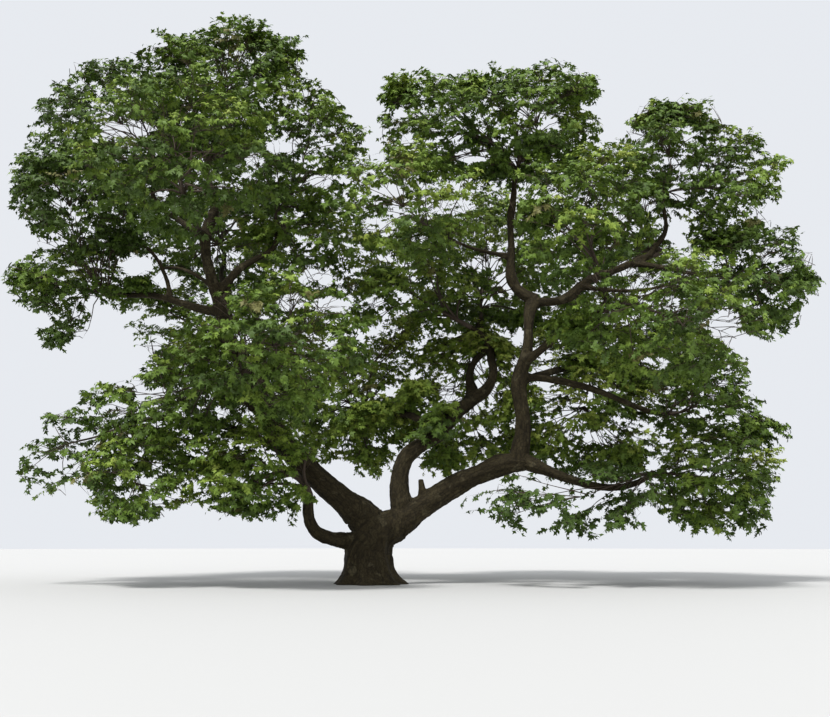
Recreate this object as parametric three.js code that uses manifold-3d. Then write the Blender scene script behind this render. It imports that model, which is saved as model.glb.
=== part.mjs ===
// An old oriental plane tree: a short stout bole that forks low, long arching boughs, and a wide
// crown of separate masses of foliage. Millimetres, +Z up, the origin on the ground under the bole.
// +X is to the right and +Y is away, seen from the side that shows the long right bough in profile.
import * as THREE from 'three';
import { mergeVertices } from 'three/addons/utils/BufferGeometryUtils.js';
import Module from 'manifold-3d';

const wasm = await Module();
wasm.setup();

// Driving sizes, in metres
const metre = 1000;
const seatGap = 0.3 / metre; // between a limb and what carries it
const limbStep = 1.7; // length of the straight runs along a limb
const limbPull = 0.38; // share of a limb's reach over which it holds its direction at either end
const limbTaper = 0.85; // power of the share along a limb by which it thins
const seed = 1907;

const bole = {
  // The centre line and radius at heights up the shaft; the flare and the rounded top are added to it
  stations: [
    { height: 0.0, centre: [0.0, 0.0], radius: 0.86 },
    { height: 1.2, centre: [-0.13, 0.0], radius: 0.82 },
    { height: 1.8, centre: [0.16, 0.0], radius: 0.8 },
    { height: 2.2, centre: [0.34, 0.0], radius: 0.81 },
    { height: 2.5, centre: [0.4, 0.0], radius: 0.78 },
  ],
  flareRadius: 0.42, // added at the ground
  flareHeight: 0.3, // over which the root flare dies away
  domeHeight: 0.5, // of the rounded top between the boughs
  buttresses: 7,
  buttressDepth: 0.09,
  sides: 18,
};

// A limb leaves its parent at a share of the parent's length and ends at its tip. leave and arrive are
// its directions there: a heading (0 is +X, 90 is +Y) and a rise above the level, in degrees.
// thick is its radius at the foot and at the tip. A strongly bent limb ends with a pull of its own.
const limbs = [
  ['left_bough', 'trunk', 0.59, [-4.8, -0.8, 8.2], [190, 40], [152, 69], [0.47, 0.32]],
  ['right_bough', 'trunk', 0.475, [5.64, 0.0, 4.36], [0, 26], [0, 5], [0.48, 0.34]],
  ['middle_bough', 'right_bough', 0.19, [3.57, 2.3, 7.38], [174, 73], [90, 43], [0.34, 0.24], 0.6],
  ['low_left_limb', 'trunk', 0.34, [-2.1, -1.56, 3.01], [186, 8], [36, 82], [0.28, 0.19], 0.5],
  ['broken_stub', 'right_bough', 0.32, [1.84, -0.03, 3.75], [90, 86], [90, 88], [0.19, 0.1]],

  ['left_leader', 'left_bough', 1, [-6.05, -0.1, 14.5], [150, 42], [117, 68], [0.25, 0.15]],
  ['left_arm', 'left_leader', 0.3, [-9.4, 0.1, 10.7], [173, 0], [180, -8], [0.16, 0.1]],
  ['left_high_arm', 'left_leader', 0.72, [-8.4, 0.9, 15.2], [186, 28], [190, 78], [0.12, 0.08]],
  ['left_inner_arm', 'left_leader', 0.42, [-3.9, 0.6, 13.5], [-10, 48], [-10, 76], [0.15, 0.1]],
  ['left_front_arm', 'left_leader', 0.72, [-6.2, -3.5, 13.1], [262, 12], [266, 24], [0.13, 0.1]],
  ['left_back_arm', 'left_leader', 0.2, [-6.3, 4.2, 13.4], [85, 40], [95, 50], [0.16, 0.1]],
  ['left_fore_limb', 'left_bough', 0.55, [-4.4, -3.9, 6.7], [250, 28], [262, 12], [0.18, 0.12]],
  ['left_rear_limb', 'left_bough', 0.5, [-5.0, 3.4, 8.2], [120, 40], [112, 38], [0.18, 0.12]],
  ['left_skirt_limb', 'left_bough', 0.4, [-8.5, -1.2, 5.6], [190, 34], [182, -14], [0.17, 0.09]],

  ['middle_upper', 'middle_bough', 1, [3.6, 3.1, 10.0], [91, 50], [176, 30], [0.16, 0.11], 0.7],
  ['middle_rear', 'middle_bough', 0.95, [4.42, 5.2, 10.6], [-20, 30], [74, 39], [0.19, 0.12], 0.5],
  ['middle_low', 'middle_bough', 0.6, [-0.4, 3.8, 6.7], [120, 35], [125, 14], [0.15, 0.09]],

  ['right_upright', 'right_bough', 0.96, [6.2, 0.0, 10.4], [0, 80], [54, 61], [0.27, 0.22]],
  ['right_low_arm', 'right_bough', 1, [10.0, -0.5, 3.78], [-4, -20], [-8, 28], [0.22, 0.1]],
  ['right_side_arm', 'right_upright', 0.48, [10.85, 0.4, 6.1], [10, 14], [4, -16], [0.15, 0.09]],
  ['right_leader', 'right_upright', 1, [5.5, 0.2, 15.1], [173, 24], [20, 84], [0.2, 0.12]],
  ['right_cross_arm', 'right_leader', 0.44, [3.4, -0.9, 12.3], [185, 12], [195, 24], [0.1, 0.07]],
  ['right_arm', 'right_upright', 0.98, [10.3, 0.1, 12.05], [-5, 0], [4, 6], [0.18, 0.12]],
  ['right_arm_peak', 'right_arm', 1, [11.2, 0.4, 14.4], [10, 62], [30, 74], [0.12, 0.07]],
  ['right_arm_end', 'right_arm', 0.86, [13.2, 0.2, 11.4], [-10, -16], [0, 6], [0.12, 0.07]],
  ['right_fore_limb', 'right_upright', 0.6, [7.8, -3.2, 9.4], [-60, 20], [-55, 20], [0.15, 0.1]],
  ['right_rear_limb', 'right_upright', 0.42, [8.6, 4.2, 8.8], [50, 45], [50, 36], [0.15, 0.1]],
].map(([name, on, at, tip, leave, arrive, thick, pull = limbPull]) => {
  return { name, on, at, tip, leave, arrive, thick, pull };
});

// Tufts that stand out of a mass: place and radius
const sprigs = {
  left_top: [[-8.1, 0.2, 20.4, 1.1], [-3.1, 0.2, 20.1, 1.0]],
  left_end: [[-11.1, -0.4, 9.2, 1.3]],
  right_peak: [[10.3, 0.5, 17.8, 0.9]],
  right_crest: [[13.0, 0.2, 17.8, 0.95]],
  right_side: [[14.4, 0.2, 5.6, 1.1]],
};

// A mass of foliage grows from its bough's tip and keeps to an ellipsoid round its heart, and to a
// ball round each of its sprigs. half is half its width, depth and height.
const masses = [
  ['left_top', 'left_leader', [-5.6, 0.3, 18.7], [3.2, 3.6, 3.0]],
  ['left_shoulder', 'left_high_arm', [-10.0, 1.3, 17.7], [3.6, 3.6, 3.3]],
  ['left_far', 'left_arm', [-10.8, -1.3, 13.8], [2.9, 3.4, 2.5]],
  ['left_end', 'left_arm', [-11.4, 0.2, 11.0], [2.6, 2.9, 1.5]],
  ['left_inner', 'left_inner_arm', [-2.7, 0.8, 16.7], [2.6, 3.6, 3.3]],
  ['left_hollow', 'left_inner_arm', [-3.0, 2.2, 12.6], [3.0, 3.3, 2.3]],
  ['left_front', 'left_front_arm', [-6.2, -5.5, 14.1], [3.6, 3.6, 3.0]],
  ['left_back', 'left_back_arm', [-7.0, 6.4, 15.2], [4.2, 4.0, 4.2]],
  ['left_fore', 'left_fore_limb', [-3.0, -5.4, 7.7], [3.4, 3.3, 2.7]],
  ['left_rear', 'left_rear_limb', [-6.0, 5.8, 9.6], [4.6, 3.7, 3.6]],
  ['left_skirt', 'left_fore_limb', [-7.0, -2.4, 6.5], [2.9, 3.0, 2.5]],
  ['left_fringe', 'left_skirt_limb', [-11.0, -0.6, 4.9], [2.4, 2.4, 2.3]],
  ['left_low', 'left_skirt_limb', [-7.8, -2.6, 3.5], [2.5, 2.5, 1.9]],
  ['low_left', 'low_left_limb', [-3.9, -3.0, 3.9], [2.5, 2.4, 2.1]],

  ['middle_top', 'middle_upper', [1.0, 3.6, 12.0], [3.7, 3.8, 3.0]],
  ['middle_rear', 'middle_rear', [4.6, 7.2, 13.6], [3.8, 3.8, 3.8]],
  ['middle_low', 'middle_low', [-1.2, 5.2, 7.1], [3.5, 3.3, 3.0]],
  ['middle_inside', 'middle_rear', [3.8, 4.6, 7.2], [3.7, 2.9, 3.4]],

  ['centre_top', 'right_leader', [6.0, 0.2, 17.3], [3.1, 3.6, 2.7]],
  ['centre_left', 'right_leader', [2.3, 0.2, 17.1], [2.6, 3.2, 2.4]],
  ['centre_cross', 'right_cross_arm', [1.3, -2.4, 13.2], [3.1, 3.3, 2.3]],
  ['centre_front', 'right_fore_limb', [7.2, -4.7, 12.2], [2.8, 3.3, 2.7]],
  ['right_peak', 'right_arm_peak', [11.1, 0.6, 16.2], [2.2, 3.2, 2.3]],
  ['right_crest', 'right_arm_peak', [13.5, 0.2, 14.7], [2.4, 3.3, 2.5]],
  ['right_mid', 'right_arm', [9.4, 3.4, 14.2], [2.7, 3.0, 2.8]],
  ['right_end', 'right_arm_end', [14.6, 0.2, 11.1], [2.5, 3.2, 2.4]],
  ['right_fore', 'right_fore_limb', [9.9, -5.1, 8.7], [3.5, 3.2, 2.5]],
  ['right_rear', 'right_rear_limb', [11.2, 6.2, 10.8], [4.0, 3.8, 3.8]],
  ['right_side', 'right_side_arm', [12.4, 0.4, 6.9], [2.2, 3.4, 2.6]],
  ['right_inside', 'right_rear_limb', [8.2, 3.6, 6.8], [3.7, 3.0, 3.5]],
  ['right_low', 'right_low_arm', [12.4, -0.6, 3.6], [2.5, 3.2, 2.2]],
  ['right_hang', 'right_low_arm', [7.0, -2.4, 2.9], [3.8, 2.5, 1.5]],
].map(([name, on, heart, half]) => ({ name, on, heart, half, sprigs: sprigs[name] ?? [] }));

// The rule by which every mass grows
const growth = {
  stemReach: 1.15, // how far the stem runs, as a share of the way to the heart
  stemSteps: 2, // straight runs along it
  stemBend: 0.4, // share of its length over which it holds the bough's direction
  stemWidth: 0.85, // of its bough's tip
  sharedStemWidth: 0.55, // where two masses grow from one tip
  stemTip: 0.03,
  boughlets: 5, // that leave the stem, and one more for each sprig
  boughletTurn: 2.39996, // radians round the heart from one boughlet to the next
  boughletReach: 0.44, // of the way from the heart to the mass's skin
  boughletTaper: 0.3,
  leavesAt: [0.97, 0.8, 0.62], // shares of a boughlet's length that bear a leaf
  leafLength: 3.0, // a leaf here stands for a whole spray
  leafWidth: 0.85, // of its length
  leafThickness: 0.03,
  leafRise: 0.75, // how far a leaf leans outwards for each metre sideways
  leafTurn: 2.1, // radians round a boughlet from one leaf to the next
  leafTurns: [0, 0.4, -0.4, 0.8, -0.8], // further turns, tried in turn
  leafSizes: [1, 0.9, 0.8, 0.7, 0.6], // tried in turn until one keeps to its space
  sprigLeafSizes: [0.7, 0.6, 0.5, 0.4],
  clearance: 0.05,
};

const colours = { bark: 0x5b4a3c, foliage: 0x4c6b2a };

// A repeatable stream of numbers from 0 to 1
function randomStream(start) {
  let state = start >>> 0;
  return () => {
    state = (state + 0x6d2b79f5) >>> 0;
    let t = state;
    t = Math.imul(t ^ (t >>> 15), t | 1);
    t ^= t + Math.imul(t ^ (t >>> 7), t | 61);
    return ((t ^ (t >>> 14)) >>> 0) / 4294967296;
  };
}

const vector = (p) => new THREE.Vector3(...p);
const mix = THREE.MathUtils.lerp;

function direction([heading, rise]) {
  const h = THREE.MathUtils.degToRad(heading);
  const r = THREE.MathUtils.degToRad(rise);
  return new THREE.Vector3(Math.cos(h) * Math.cos(r), Math.sin(h) * Math.cos(r), Math.sin(r));
}

// A closed geometry as a solid in millimetres
function solidOf(geometry) {
  const bare = new THREE.BufferGeometry();
  bare.setIndex(geometry.index);
  bare.setAttribute('position', geometry.getAttribute('position'));
  bare.scale(metre, metre, metre);
  const merged = mergeVertices(bare, 1e-3);
  const solid = new wasm.Manifold(new wasm.Mesh({
    numProp: 3,
    vertProperties: merged.attributes.position.array,
    triVerts: new Uint32Array(merged.index.array),
  }));
  return solid.asOriginal().simplify(0.01);
}

// The one largest body of a union: sealed hollows are filled and loose scraps are dropped
function fuse(solids) {
  const bodies = wasm.Manifold.union(solids).decompose();
  return bodies.reduce((best, b) => (b.volume() > best.volume() ? b : best));
}

function geometryOf(solid) {
  const mesh = solid.getMesh();
  const flat = new Float32Array(mesh.numVert * 3);
  for (let i = 0; i < mesh.numVert; i++) {
    flat.set(mesh.vertProperties.subarray(i * mesh.numProp, i * mesh.numProp + 3), i * 3);
  }
  const geometry = new THREE.BufferGeometry();
  geometry.setAttribute('position', new THREE.BufferAttribute(flat, 3));
  geometry.setIndex(new THREE.BufferAttribute(mesh.triVerts, 1));
  return geometry;
}

// A closed cylinder laid along a curve, with its radius given along its length, grown all round by a gap
function tube(curve, radiusAt, sides, steps, grow = 0) {
  const geometry = new THREE.CylinderGeometry(1, 1, 1, sides, steps);
  const position = geometry.getAttribute('position');
  const rings = [];
  let across = new THREE.Vector3(1, 0, 0);
  for (let i = 0; i <= steps; i++) {
    const along = curve.getTangent(i / steps);
    across = across.clone().addScaledVector(along, -across.dot(along)).normalize();
    const before = curve.getPoint(Math.max(i - 1, 0) / steps);
    const run = curve.getPoint(Math.min(i + 1, steps) / steps).sub(before).normalize();
    const past = i === 0 ? -grow : i === steps ? grow : 0;
    rings.push({
      centre: curve.getPoint(i / steps).addScaledVector(run, past),
      across,
      other: along.clone().cross(across),
      radius: radiusAt(i / steps) + grow,
    });
  }
  for (let i = 0; i < position.count; i++) {
    const ring = rings[Math.round((position.getY(i) + 0.5) * steps)];
    const p = ring.centre.clone()
      .addScaledVector(ring.across, position.getZ(i) * ring.radius)
      .addScaledVector(ring.other, position.getX(i) * ring.radius);
    position.setXYZ(i, p.x, p.y, p.z);
  }
  return geometry;
}

// A point on the straight runs that a tube of so many steps has for its centre line
function onTube(curve, steps, share) {
  const from = Math.min(steps - 1, Math.floor(share * steps));
  return curve.getPoint(from / steps).lerp(curve.getPoint((from + 1) / steps), share * steps - from);
}

// The bole: a round shaft that leans and narrows, with a buttressed flare at its flat foot and a rounded top
const boleTop = bole.stations[bole.stations.length - 1].height;
const boleCurve = new THREE.CatmullRomCurve3(bole.stations.map((s) => vector([...s.centre, s.height])));

function boleStation(height) {
  const above = Math.max(1, bole.stations.findIndex((s) => s.height >= height));
  const low = bole.stations[above - 1];
  const high = bole.stations[above];
  const share = THREE.MathUtils.smoothstep(height, low.height, high.height);
  const centre = low.centre.map((c, k) => mix(c, high.centre[k], share));
  return { centre, radius: mix(low.radius, high.radius, share) };
}

function boleRadius(height, angle) {
  const flare = Math.exp(-height / bole.flareHeight);
  const lobes = 1 + bole.buttressDepth * Math.cos(bole.buttresses * angle + 0.6) * (0.3 + flare);
  const domed = Math.max(0, (height - boleTop + bole.domeHeight) / bole.domeHeight);
  return (boleStation(height).radius + bole.flareRadius * flare) * lobes * Math.sqrt(1 - 0.8 * domed * domed);
}

function boleSolid(grow = 0) {
  const heights = [0, 0.15, 0.4, 0.8, 1.3, 1.8, 2.05, 2.3, boleTop];
  const geometry = new THREE.CylinderGeometry(1, 1, 1, bole.sides, heights.length - 1);
  const position = geometry.getAttribute('position');
  for (let i = 0; i < position.count; i++) {
    const height = heights[Math.round((position.getY(i) + 0.5) * (heights.length - 1))];
    const angle = Math.atan2(position.getX(i), position.getZ(i));
    const onAxis = Math.hypot(position.getX(i), position.getZ(i)) < 0.5;
    const radius = onAxis ? 0 : boleRadius(height, angle) + grow;
    const { centre } = boleStation(height);
    const lift = height === boleTop ? grow : 0;
    const x = centre[0] + radius * Math.sin(angle);
    const y = centre[1] - radius * Math.cos(angle);
    position.setXYZ(i, x, y, height + lift);
  }
  return solidOf(geometry);
}

// Every limb's curve, from its parent's centre line to its tip
const curves = { trunk: boleCurve };
for (const limb of limbs) {
  const foot = curves[limb.on].getPoint(limb.at);
  const tip = vector(limb.tip);
  const pull = foot.distanceTo(tip) * limb.pull;
  curves[limb.name] = new THREE.CubicBezierCurve3(
    foot,
    foot.clone().addScaledVector(direction(limb.leave), pull),
    tip.clone().addScaledVector(direction(limb.arrive), -pull),
    tip,
  );
}

function limbSolid(limb, grow = 0) {
  const curve = curves[limb.name];
  const [foot, tip] = limb.thick;
  const sides = foot > 0.25 ? 9 : foot > 0.17 ? 6 : 5;
  const steps = Math.max(3, Math.round(curve.getLength() / limbStep));
  return solidOf(tube(curve, (share) => mix(foot, tip, Math.pow(share, limbTaper)), sides, steps, grow));
}

// The limbs in order, each cut clear of its parent and of the limbs before it
const solids = new Map();
const grownLimbs = new Map();
solids.set('trunk', boleSolid());
grownLimbs.set('trunk', boleSolid(seatGap));
for (const limb of limbs) {
  let solid = limbSolid(limb);
  for (const grown of grownLimbs.values()) {
    if (boxesMeet(solid, grown)) solid = fuse([solid.subtract(grown)]);
  }
  solids.set(limb.name, solid);
  grownLimbs.set(limb.name, limbSolid(limb, seatGap));
}

function boxesMeet(a, b) {
  const p = a.boundingBox();
  const q = b.boundingBox();
  return [0, 1, 2].every((k) => p.min[k] < q.max[k] && q.min[k] < p.max[k]);
}

function touches(solid, others) {
  return others.some((o) => boxesMeet(solid, o) && !solid.intersect(o).isEmpty());
}

// How far out a point lies in a mass: 0 at its heart or a sprig's, 1 on its skin
function depthIn(mass, p) {
  const main = Math.hypot(
    (p.x - mass.heart[0]) / mass.half[0],
    (p.y - mass.heart[1]) / mass.half[1],
    (p.z - mass.heart[2]) / mass.half[2],
  );
  return Math.min(main, ...mass.sprigs.map(([x, y, z, r]) => Math.hypot(p.x - x, p.y - y, p.z - z) / r));
}

// A point is a mass's own if it is inside it, and deeper in it than in any neighbour
function isOwn(mass, p) {
  const own = depthIn(mass, p);
  return own <= 1 && masses.every((other) => {
    const room = Math.min(...other.half, ...mass.half);
    return other === mass || (depthIn(other, p) - own) * room > growth.clearance;
  });
}

// The blade of a leaf, eight faces, from its root along its run, with its flat side facing up
function leafSolid(root, run, up, length) {
  const side = run.clone().cross(up).normalize();
  const face = side.clone().cross(run).normalize();
  const at = (along, across, out) => root.clone()
    .addScaledVector(run, along * length)
    .addScaledVector(side, across * growth.leafWidth * length)
    .addScaledVector(face, out * growth.leafThickness);
  const edge = [at(0, 0, 0), at(0.55, 0.5, 0), at(1, 0, 0), at(0.55, -0.5, 0)];
  const corners = [...edge, at(0.5, 0, 0.5), at(0.5, 0, -0.5)];
  const geometry = new THREE.BufferGeometry().setFromPoints(corners);
  geometry.setIndex([0, 1, 4, 1, 2, 4, 2, 3, 4, 3, 0, 4, 1, 0, 5, 2, 1, 5, 3, 2, 5, 0, 3, 5]);
  return { solid: solidOf(geometry), corners };
}

// A direction at right angles to another, at a turn round it
function aside(axis, turn) {
  const level = new THREE.Vector3(-axis.y, axis.x, 0.001).normalize();
  const rise = axis.clone().cross(level).normalize();
  return level.multiplyScalar(Math.cos(turn)).addScaledVector(rise, Math.sin(turn));
}

// A leaf that leans out of the mass and to one side, its face turned half outwards
function leafAlong(root, out, turn, length) {
  const tangent = aside(out, turn);
  const run = out.clone().multiplyScalar(growth.leafRise).add(tangent).normalize();
  const up = out.clone().addScaledVector(tangent, -growth.leafRise).normalize();
  return leafSolid(root, run, up, length);
}

// The stem of each mass, from its bough's tip to its heart and a little past it. Stems that share a tip
// stand side by side on it, each towards its own heart.
const stems = masses.map((mass) => {
  const bough = limbs.find((l) => l.name === mass.on);
  const shared = masses.filter((m) => m.on === mass.on).length > 1;
  const tip = vector(bough.tip);
  const heart = vector(mass.heart);
  const arrive = direction(bough.arrive);
  const way = heart.clone().sub(tip);
  const sideways = way.clone().addScaledVector(arrive, -way.dot(arrive)).normalize();
  const foot = tip.clone().addScaledVector(sideways, shared ? bough.thick[1] * 0.4 : 0);
  const curve = new THREE.QuadraticBezierCurve3(
    foot.clone().addScaledVector(arrive, -0.05),
    foot.clone().addScaledVector(arrive, way.length() * growth.stemBend),
    foot.clone().lerp(heart, growth.stemReach),
  );
  const width = shared ? growth.sharedStemWidth : growth.stemWidth;
  const radiusAt = (share) => mix(bough.thick[1] * width, growth.stemTip, share);
  const solid = solidOf(tube(curve, radiusAt, 4, growth.stemSteps));
  const grown = solidOf(tube(curve, radiusAt, 4, growth.stemSteps, seatGap));
  return { curve, radiusAt, solid, grown };
});

function growMass(mass, index, earlier) {
  const random = randomStream(seed + index * 101);
  const heart = vector(mass.heart);
  const half = vector(mass.half);
  const stem = stems[index];
  const pieces = [stem.solid];
  const leaves = [];
  const otherStems = stems.filter((s) => s !== stem).map((s) => s.grown);
  const others = [...otherStems, ...earlier];
  for (const [name, limb] of grownLimbs) {
    if (name !== mass.on) others.push(limb);
  }
  const barred = [...others, grownLimbs.get(mass.on)];

  const targets = [];
  for (let i = 0; i < growth.boughlets; i++) {
    const height = 1 - (2 * (i + 0.5)) / growth.boughlets;
    const turn = i * growth.boughletTurn + random() * 0.4;
    const flat = Math.sqrt(1 - height * height);
    const out = new THREE.Vector3(Math.cos(turn) * flat, Math.sin(turn) * flat, height);
    const at = out.clone().multiply(half).multiplyScalar(growth.boughletReach).add(heart);
    targets.push({ out, at, leafSizes: growth.leafSizes });
  }
  for (const [x, y, z] of mass.sprigs) {
    const at = new THREE.Vector3(x, y, z);
    targets.push({ out: at.clone().sub(heart).normalize(), at, leafSizes: growth.sprigLeafSizes });
  }
  const foot = stem.curve.getPoint(0);
  const line = stem.curve.getPoint(1).sub(foot);
  for (const target of targets) {
    const abreast = target.at.clone().sub(foot).dot(line) / line.lengthSq();
    const share = THREE.MathUtils.clamp(abreast - 0.3, 0.25, 0.9);
    const start = onTube(stem.curve, growth.stemSteps, share);
    const radius = stem.radiusAt(share) * 0.7;
    const twig = new THREE.LineCurve3(start, target.at);
    const twigSolid = solidOf(tube(twig, (s) => mix(radius, radius * growth.boughletTaper, s), 3, 1));
    if (!isOwn(mass, target.at) || touches(twigSolid, others)) continue;
    pieces.push(twigSolid);
    const first = random() * 2 * Math.PI;
    growth.leavesAt.forEach((leafAt, k) => {
      const root = twig.getPoint(leafAt);
      const turns = growth.leafTurns.map((t) => first + k * growth.leafTurn + t);
      for (const size of target.leafSizes) {
        const leaf = turns
          .map((turn) => leafAlong(root, target.out, turn, growth.leafLength * size))
          .find(({ corners, solid }) => corners.slice(1).every((p) => isOwn(mass, p))
            && !touches(solid, [...barred, ...leaves]));
        if (leaf) {
          pieces.push(leaf.solid);
          leaves.push(leaf.solid);
          break;
        }
      }
    });
  }
  let grown = fuse(pieces);
  for (const other of [...grownLimbs.values(), ...otherStems.slice(0, index)]) {
    if (boxesMeet(grown, other)) grown = fuse([grown.subtract(other)]);
  }
  return grown;
}

const grownMasses = [];
masses.forEach((mass, index) => {
  const solid = growMass(mass, index, grownMasses);
  grownMasses.push(solid);
  solids.set(mass.name + '_mass', solid);
});

const tree = new THREE.Group();
const barkFinish = new THREE.MeshStandardMaterial({ color: colours.bark, roughness: 0.9, metalness: 0 });
const leafFinish = new THREE.MeshStandardMaterial({ color: colours.foliage, roughness: 0.6, metalness: 0 });
for (const [name, solid] of solids) {
  const mesh = new THREE.Mesh(geometryOf(solid), name.endsWith('_mass') ? leafFinish : barkFinish);
  mesh.name = name;
  tree.add(mesh);
}

export default tree;
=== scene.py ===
import math

import bpy
import numpy as np
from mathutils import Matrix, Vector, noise


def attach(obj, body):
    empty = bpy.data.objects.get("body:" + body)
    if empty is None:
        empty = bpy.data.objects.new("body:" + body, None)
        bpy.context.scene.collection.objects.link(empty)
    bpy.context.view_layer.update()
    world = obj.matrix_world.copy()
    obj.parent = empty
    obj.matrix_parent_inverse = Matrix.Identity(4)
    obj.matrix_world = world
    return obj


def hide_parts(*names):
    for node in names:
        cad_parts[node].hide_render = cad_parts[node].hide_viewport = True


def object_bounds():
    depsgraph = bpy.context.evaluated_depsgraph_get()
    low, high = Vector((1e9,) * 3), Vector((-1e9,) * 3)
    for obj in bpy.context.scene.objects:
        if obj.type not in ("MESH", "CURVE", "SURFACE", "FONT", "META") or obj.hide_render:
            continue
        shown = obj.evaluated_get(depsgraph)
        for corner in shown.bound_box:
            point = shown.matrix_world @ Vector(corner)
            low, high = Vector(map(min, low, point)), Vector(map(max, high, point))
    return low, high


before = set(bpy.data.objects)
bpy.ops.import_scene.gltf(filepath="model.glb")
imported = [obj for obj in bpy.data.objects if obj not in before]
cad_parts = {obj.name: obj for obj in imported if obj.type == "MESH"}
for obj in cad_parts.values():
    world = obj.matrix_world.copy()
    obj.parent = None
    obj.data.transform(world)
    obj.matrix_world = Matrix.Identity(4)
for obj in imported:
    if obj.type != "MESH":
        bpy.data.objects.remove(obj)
cadLow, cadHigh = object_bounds()
print("frame loaded,", len(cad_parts), "nodes")

# Where the tree is seen from: lengths in metres, the picture in its own pixels
photo = {
    "eye": (1.6, -42.0, 1.6),
    "width": 830,
    "middleRow": 358.5,
    "horizonRow": 539,
    "focalPixels": 1150,
}

# The bole: height, lean to the right and radius at each station, as in the solids
bole = {
    "stations": [
        (0.0, 0.0, 0.86),
        (1.2, -0.13, 0.82),
        (1.8, 0.16, 0.80),
        (2.2, 0.34, 0.81),
        (2.5, 0.40, 0.78),
    ],
    "flareRadius": 0.42,
    "flareHeight": 0.30,
    "domeHeight": 0.5,
    "domeDepth": 0.8,
    "buttresses": 7,
    "buttressDepth": 0.09,
    "buttressTurn": 0.6,
    "buttressAbove": 0.3,  # how much of the buttresses goes on above the flare
    "sides": 80,
    "rings": 24,
    "ringCrowding": 1.3,  # towards the ground
}

# Each limb: what it grows on and where, its tip, the heading and rise it leaves and arrives with, and
# its radius at the foot and the tip. A strongly bent limb ends with a pull of its own.
limbPull = 0.38
limbTaper = 0.85
limbRows = [
    ("left_bough", "trunk", 0.59, (-4.8, -0.8, 8.2), (190, 40), (152, 69), (0.47, 0.32)),
    ("right_bough", "trunk", 0.475, (5.64, 0.0, 4.36), (0, 26), (0, 5), (0.48, 0.34)),
    ("middle_bough", "right_bough", 0.19, (3.57, 2.3, 7.38), (174, 73), (90, 43), (0.34, 0.24), 0.6),
    ("low_left_limb", "trunk", 0.34, (-2.1, -1.56, 3.01), (186, 8), (36, 82), (0.28, 0.19), 0.5),
    ("broken_stub", "right_bough", 0.32, (1.84, -0.03, 3.75), (90, 86), (90, 88), (0.19, 0.1)),
    ("left_leader", "left_bough", 1, (-6.05, -0.1, 14.5), (150, 42), (117, 68), (0.25, 0.15)),
    ("left_arm", "left_leader", 0.3, (-9.4, 0.1, 10.7), (173, 0), (180, -8), (0.16, 0.1)),
    ("left_high_arm", "left_leader", 0.72, (-8.4, 0.9, 15.2), (186, 28), (190, 78), (0.12, 0.08)),
    ("left_inner_arm", "left_leader", 0.42, (-3.9, 0.6, 13.5), (-10, 48), (-10, 76), (0.15, 0.1)),
    ("left_front_arm", "left_leader", 0.72, (-6.2, -3.5, 13.1), (262, 12), (266, 24), (0.13, 0.1)),
    ("left_back_arm", "left_leader", 0.2, (-6.3, 4.2, 13.4), (85, 40), (95, 50), (0.16, 0.1)),
    ("left_fore_limb", "left_bough", 0.55, (-4.4, -3.9, 6.7), (250, 28), (262, 12), (0.18, 0.12)),
    ("left_rear_limb", "left_bough", 0.5, (-5.0, 3.4, 8.2), (120, 40), (112, 38), (0.18, 0.12)),
    ("left_skirt_limb", "left_bough", 0.4, (-8.5, -1.2, 5.6), (190, 34), (182, -14), (0.17, 0.09)),
    ("middle_upper", "middle_bough", 1, (3.6, 3.1, 10.0), (91, 50), (176, 30), (0.16, 0.11), 0.7),
    ("middle_rear", "middle_bough", 0.95, (4.42, 5.2, 10.6), (-20, 30), (74, 39), (0.19, 0.12), 0.5),
    ("middle_low", "middle_bough", 0.6, (-0.4, 3.8, 6.7), (120, 35), (125, 14), (0.15, 0.09)),
    ("right_upright", "right_bough", 0.96, (6.2, 0.0, 10.4), (0, 80), (54, 61), (0.27, 0.22)),
    ("right_low_arm", "right_bough", 1, (10.0, -0.5, 3.78), (-4, -20), (-8, 28), (0.22, 0.1)),
    ("right_side_arm", "right_upright", 0.48, (10.85, 0.4, 6.1), (10, 14), (4, -16), (0.15, 0.09)),
    ("right_leader", "right_upright", 1, (5.5, 0.2, 15.1), (173, 24), (20, 84), (0.2, 0.12)),
    ("right_cross_arm", "right_leader", 0.44, (3.4, -0.9, 12.3), (185, 12), (195, 24), (0.1, 0.07)),
    ("right_arm", "right_upright", 0.98, (10.3, 0.1, 12.05), (-5, 0), (4, 6), (0.18, 0.12)),
    ("right_arm_peak", "right_arm", 1, (11.2, 0.4, 14.4), (10, 62), (30, 74), (0.12, 0.07)),
    ("right_arm_end", "right_arm", 0.86, (13.2, 0.2, 11.4), (-10, -16), (0, 6), (0.12, 0.07)),
    ("right_fore_limb", "right_upright", 0.6, (7.8, -3.2, 9.4), (-60, 20), (-55, 20), (0.15, 0.1)),
    ("right_rear_limb", "right_upright", 0.42, (8.6, 4.2, 8.8), (50, 45), (50, 36), (0.15, 0.1)),
]

# Finer boughs that grow on from the limbs, in the same terms
boughRows = [
    ("left_loop_bough", "left_arm", 0.48, (-9.1, -0.3, 12.7), (30, 62), (178, 20), (0.12, 0.05)),
    ("left_cross_bough", "left_leader", 0.42, (-7.7, 0.3, 11.6), (150, 66), (186, -6), (0.10, 0.06)),
    ("right_level_bough", "right_arm", 0.42, (12.4, -0.2, 11.1), (-10, -14), (0, 6), (0.10, 0.05)),
]

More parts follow.
